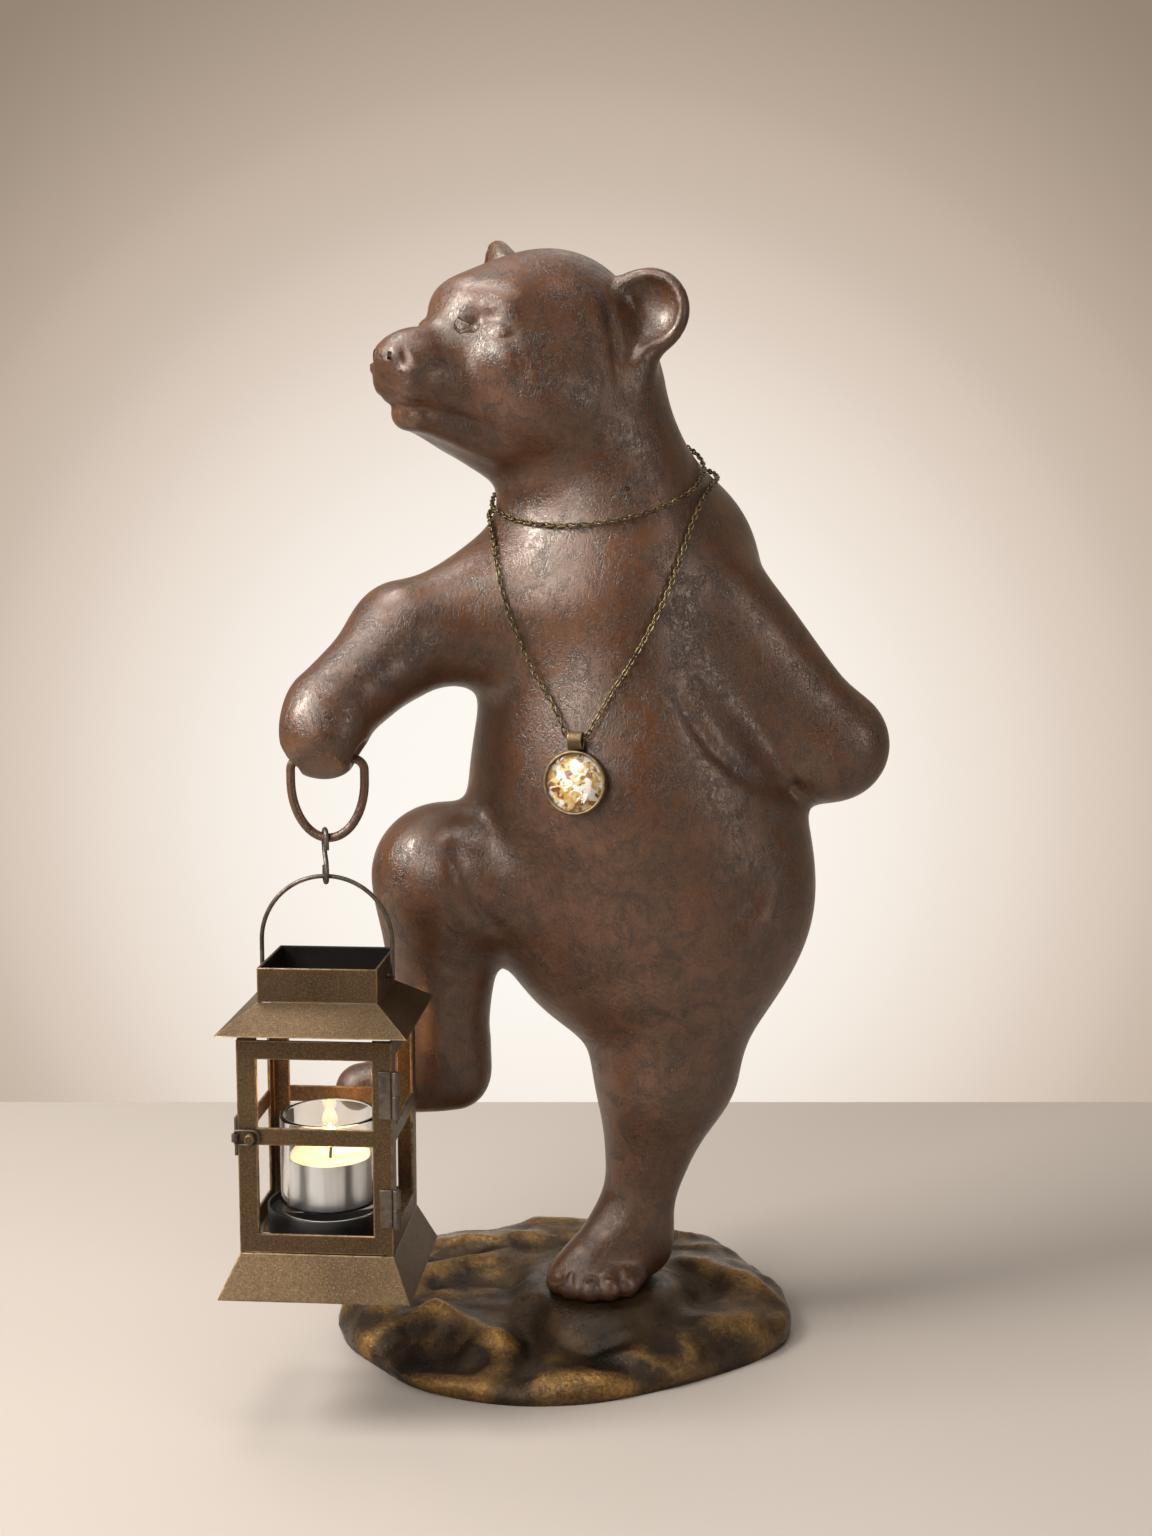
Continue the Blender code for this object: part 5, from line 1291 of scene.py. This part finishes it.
def inside_collar(point):
    """Whether a point of the collar is on its inner faces."""
    across = abs(point.x - PIVOT.x) < COLLAR_WIDTH / 2 - 0.7 * SHEET
    return across and abs(point.y - PIVOT.y) < COLLAR_DEPTH / 2 - 0.7 * SHEET


def make_lantern(looks):
    for node, body in LANTERN_SHEETS:
        dents, cuts = (0.15 * MM, 6 * MM) if node in ("roof", "skirt") else (0.0, 0.0)
        # The collar's inner faces get painted shade
        shade_test = inside_collar if node == "collar" else None
        look = looks["wire"] if node.startswith(("hinge", "latch")) else looks["brass"]
        finer(node, body, look, "antique_brass", 0.22 * MM, dents, cuts, shade_test)


# Stage, light and camera

def glow_colour(tree):
    """A warm backdrop with a painted pool of light: bright low in its middle and darker towards its upper corners."""
    where = tree.nodes.new("ShaderNodeNewGeometry")
    parts = tree.nodes.new("ShaderNodeSeparateXYZ")
    tree.links.new(where.outputs["Position"], parts.inputs[0])
    squares = []
    for axis, middle in zip("XZ", GLOW_PLACE):
        away = count(tree, "DIVIDE", count(tree, "SUBTRACT", parts.outputs[axis], middle), GLOW_REACH)
        squares.append(count(tree, "MULTIPLY", away, away))
    reach = count(tree, "SQRT", count(tree, "ADD", *squares))
    ramp = tree.nodes.new("ShaderNodeValToRGB")
    ramp.color_ramp.interpolation = "CARDINAL"
    for _ in GLOW_STOPS[2:]:
        ramp.color_ramp.elements.new(0.5)
    for element, (position, colour) in zip(ramp.color_ramp.elements, GLOW_STOPS):
        element.position = position
        element.color = (*[linear(v) for v in colour], 1)
    tree.links.new(reach, ramp.inputs["Fac"])
    return ramp.outputs["Color"]


def linear(value):
    """A shade from 0 to 255 as light."""
    share = value / 255
    return share / 12.92 if share <= 0.04045 else ((share + 0.055) / 1.055) ** 2.4


def make_stage():
    """A pale table whose far edge stands against a glowing backdrop."""
    floor_look, _, _ = new_look("floor", FLOOR_COLOUR, 0.6)
    wall_look = bpy.data.materials.new("backdrop")
    wall_look.use_nodes = True
    tree = wall_look.node_tree
    tree.nodes.remove(tree.nodes["Principled BSDF"])
    glow = tree.nodes.new("ShaderNodeEmission")
    tree.links.new(glow_colour(tree), glow.inputs["Color"])
    tree.links.new(glow.outputs[0], tree.nodes["Material Output"].inputs["Surface"])
    half = 4.0
    lean = half * math.tan(CAMERA_TURN.z)
    floor = [(-half, -half, 0), (half, -half, 0), (half, FLOOR_EDGE + lean, 0), (-half, FLOOR_EDGE - lean, 0)]
    wall = [(-half, WALL_PLACE, -2), (half, WALL_PLACE, -2), (half, WALL_PLACE, 3), (-half, WALL_PLACE, 3)]
    for name, corners, look in (("floor", floor, floor_look), ("backdrop", wall, wall_look)):
        mesh = cast(name, corners, [(0, 1, 2, 3)])
        mesh.materials.append(look)
        obj = bpy.data.objects.new(name, mesh)
        bpy.context.scene.collection.objects.link(obj)


def softbox(name, place, target, size, power, colour=(1, 1, 1)):
    lamp = bpy.data.lights.new(name, "AREA")
    lamp.shape = "RECTANGLE"
    lamp.size, lamp.size_y = size
    lamp.energy = power
    lamp.color = colour
    obj = bpy.data.objects.new(name, lamp)
    bpy.context.scene.collection.objects.link(obj)
    obj.location = place
    obj.rotation_euler = (Vector(target) - Vector(place)).to_track_quat("-Z", "Y").to_euler()


def make_light():
    scene = bpy.context.scene
    world = bpy.data.worlds.new("studio")
    scene.world = world
    world.use_nodes = True
    world.node_tree.nodes["Background"].inputs["Color"].default_value = (0.80, 0.69, 0.59, 1)
    world.node_tree.nodes["Background"].inputs["Strength"].default_value = 0.07
    softbox("key", (-1.15, -0.55, 1.25), (0, 0, 0.3), (0.7, 0.7), 45, (1.0, 0.98, 0.955))
    softbox("front", (-0.55, -1.25, 0.85), (0, 0, 0.3), (0.5, 0.7), 10, (1.0, 0.98, 0.96))
    softbox("top", (0, -0.45, 1.6), (0, 0, 0.2), (0.8, 0.5), 7, (1.0, 0.99, 0.98))
    softbox("side", (1.3, -0.6, 0.6), (0, 0, 0.3), (0.35, 1.0), 4.5, (1.0, 0.98, 0.96))
    softbox("rim", (0.3, 0.9, 1.3), (0, 0, 0.3), (1.0, 0.5), 1.5)
    softbox("lantern_top", (-0.3, 0.1, 1.1), (PIVOT.x, PIVOT.y, 0.2), (0.3, 0.3), 3)
    candle = bpy.data.lights.new("candle_light", "POINT")
    candle.energy = 0.05
    candle.color = (1.0, 0.45, 0.14)
    candle.shadow_soft_size = 4 * MM
    obj = bpy.data.objects.new("candle_light", candle)
    scene.collection.objects.link(obj)
    obj.location = (PIVOT.x, PIVOT.y, CAGE_FOOT + 64 * MM)
    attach(obj, "lantern")


def make_camera():
    data = bpy.data.cameras.new("camera")
    data.lens = LENS
    camera = bpy.data.objects.new("camera", data)
    bpy.context.scene.collection.objects.link(camera)
    camera.location = EYE
    camera.rotation_euler = CAMERA_TURN
    bpy.context.scene.camera = camera
    bpy.context.scene.view_settings.view_transform = "Standard"


def tree_of(obj):
    mesh = obj.data
    points = [v.co for v in mesh.vertices]
    return BVHTree.FromPolygons(points, [tuple(p.vertices) for p in mesh.polygons])


make_camera()
make_light()
make_stage()
looks = {
    "patina": patina_look(),
    "rock": rock_look(),
    "brass": brass_look(),
    "chain": wire_look("chain_brass", (0.20, 0.145, 0.065), (0.035, 0.024, 0.012), 0.35),
    "wire": wire_look("dark_wire", (0.14, 0.11, 0.085), (0.05, 0.04, 0.032), 0.4),
    "black": black_look(),
    "glass": glass_look(),
    "dome": glass_look("pendant_glass", 0.3),
    "tin": tin_look(),
    "wax": wax_look(),
    "wick": wick_look(),
    "flecks": fleck_look(),
}
bear_piece = make_bear(looks["patina"])
figure_tree = tree_of(bear_piece)
make_rock(looks["rock"])
make_necklace(looks)
make_ring(looks["patina"])
make_hook(looks["wire"])
make_bail(looks["wire"])
make_latch_loop(looks["wire"])
make_lantern(looks)
make_candle(looks)
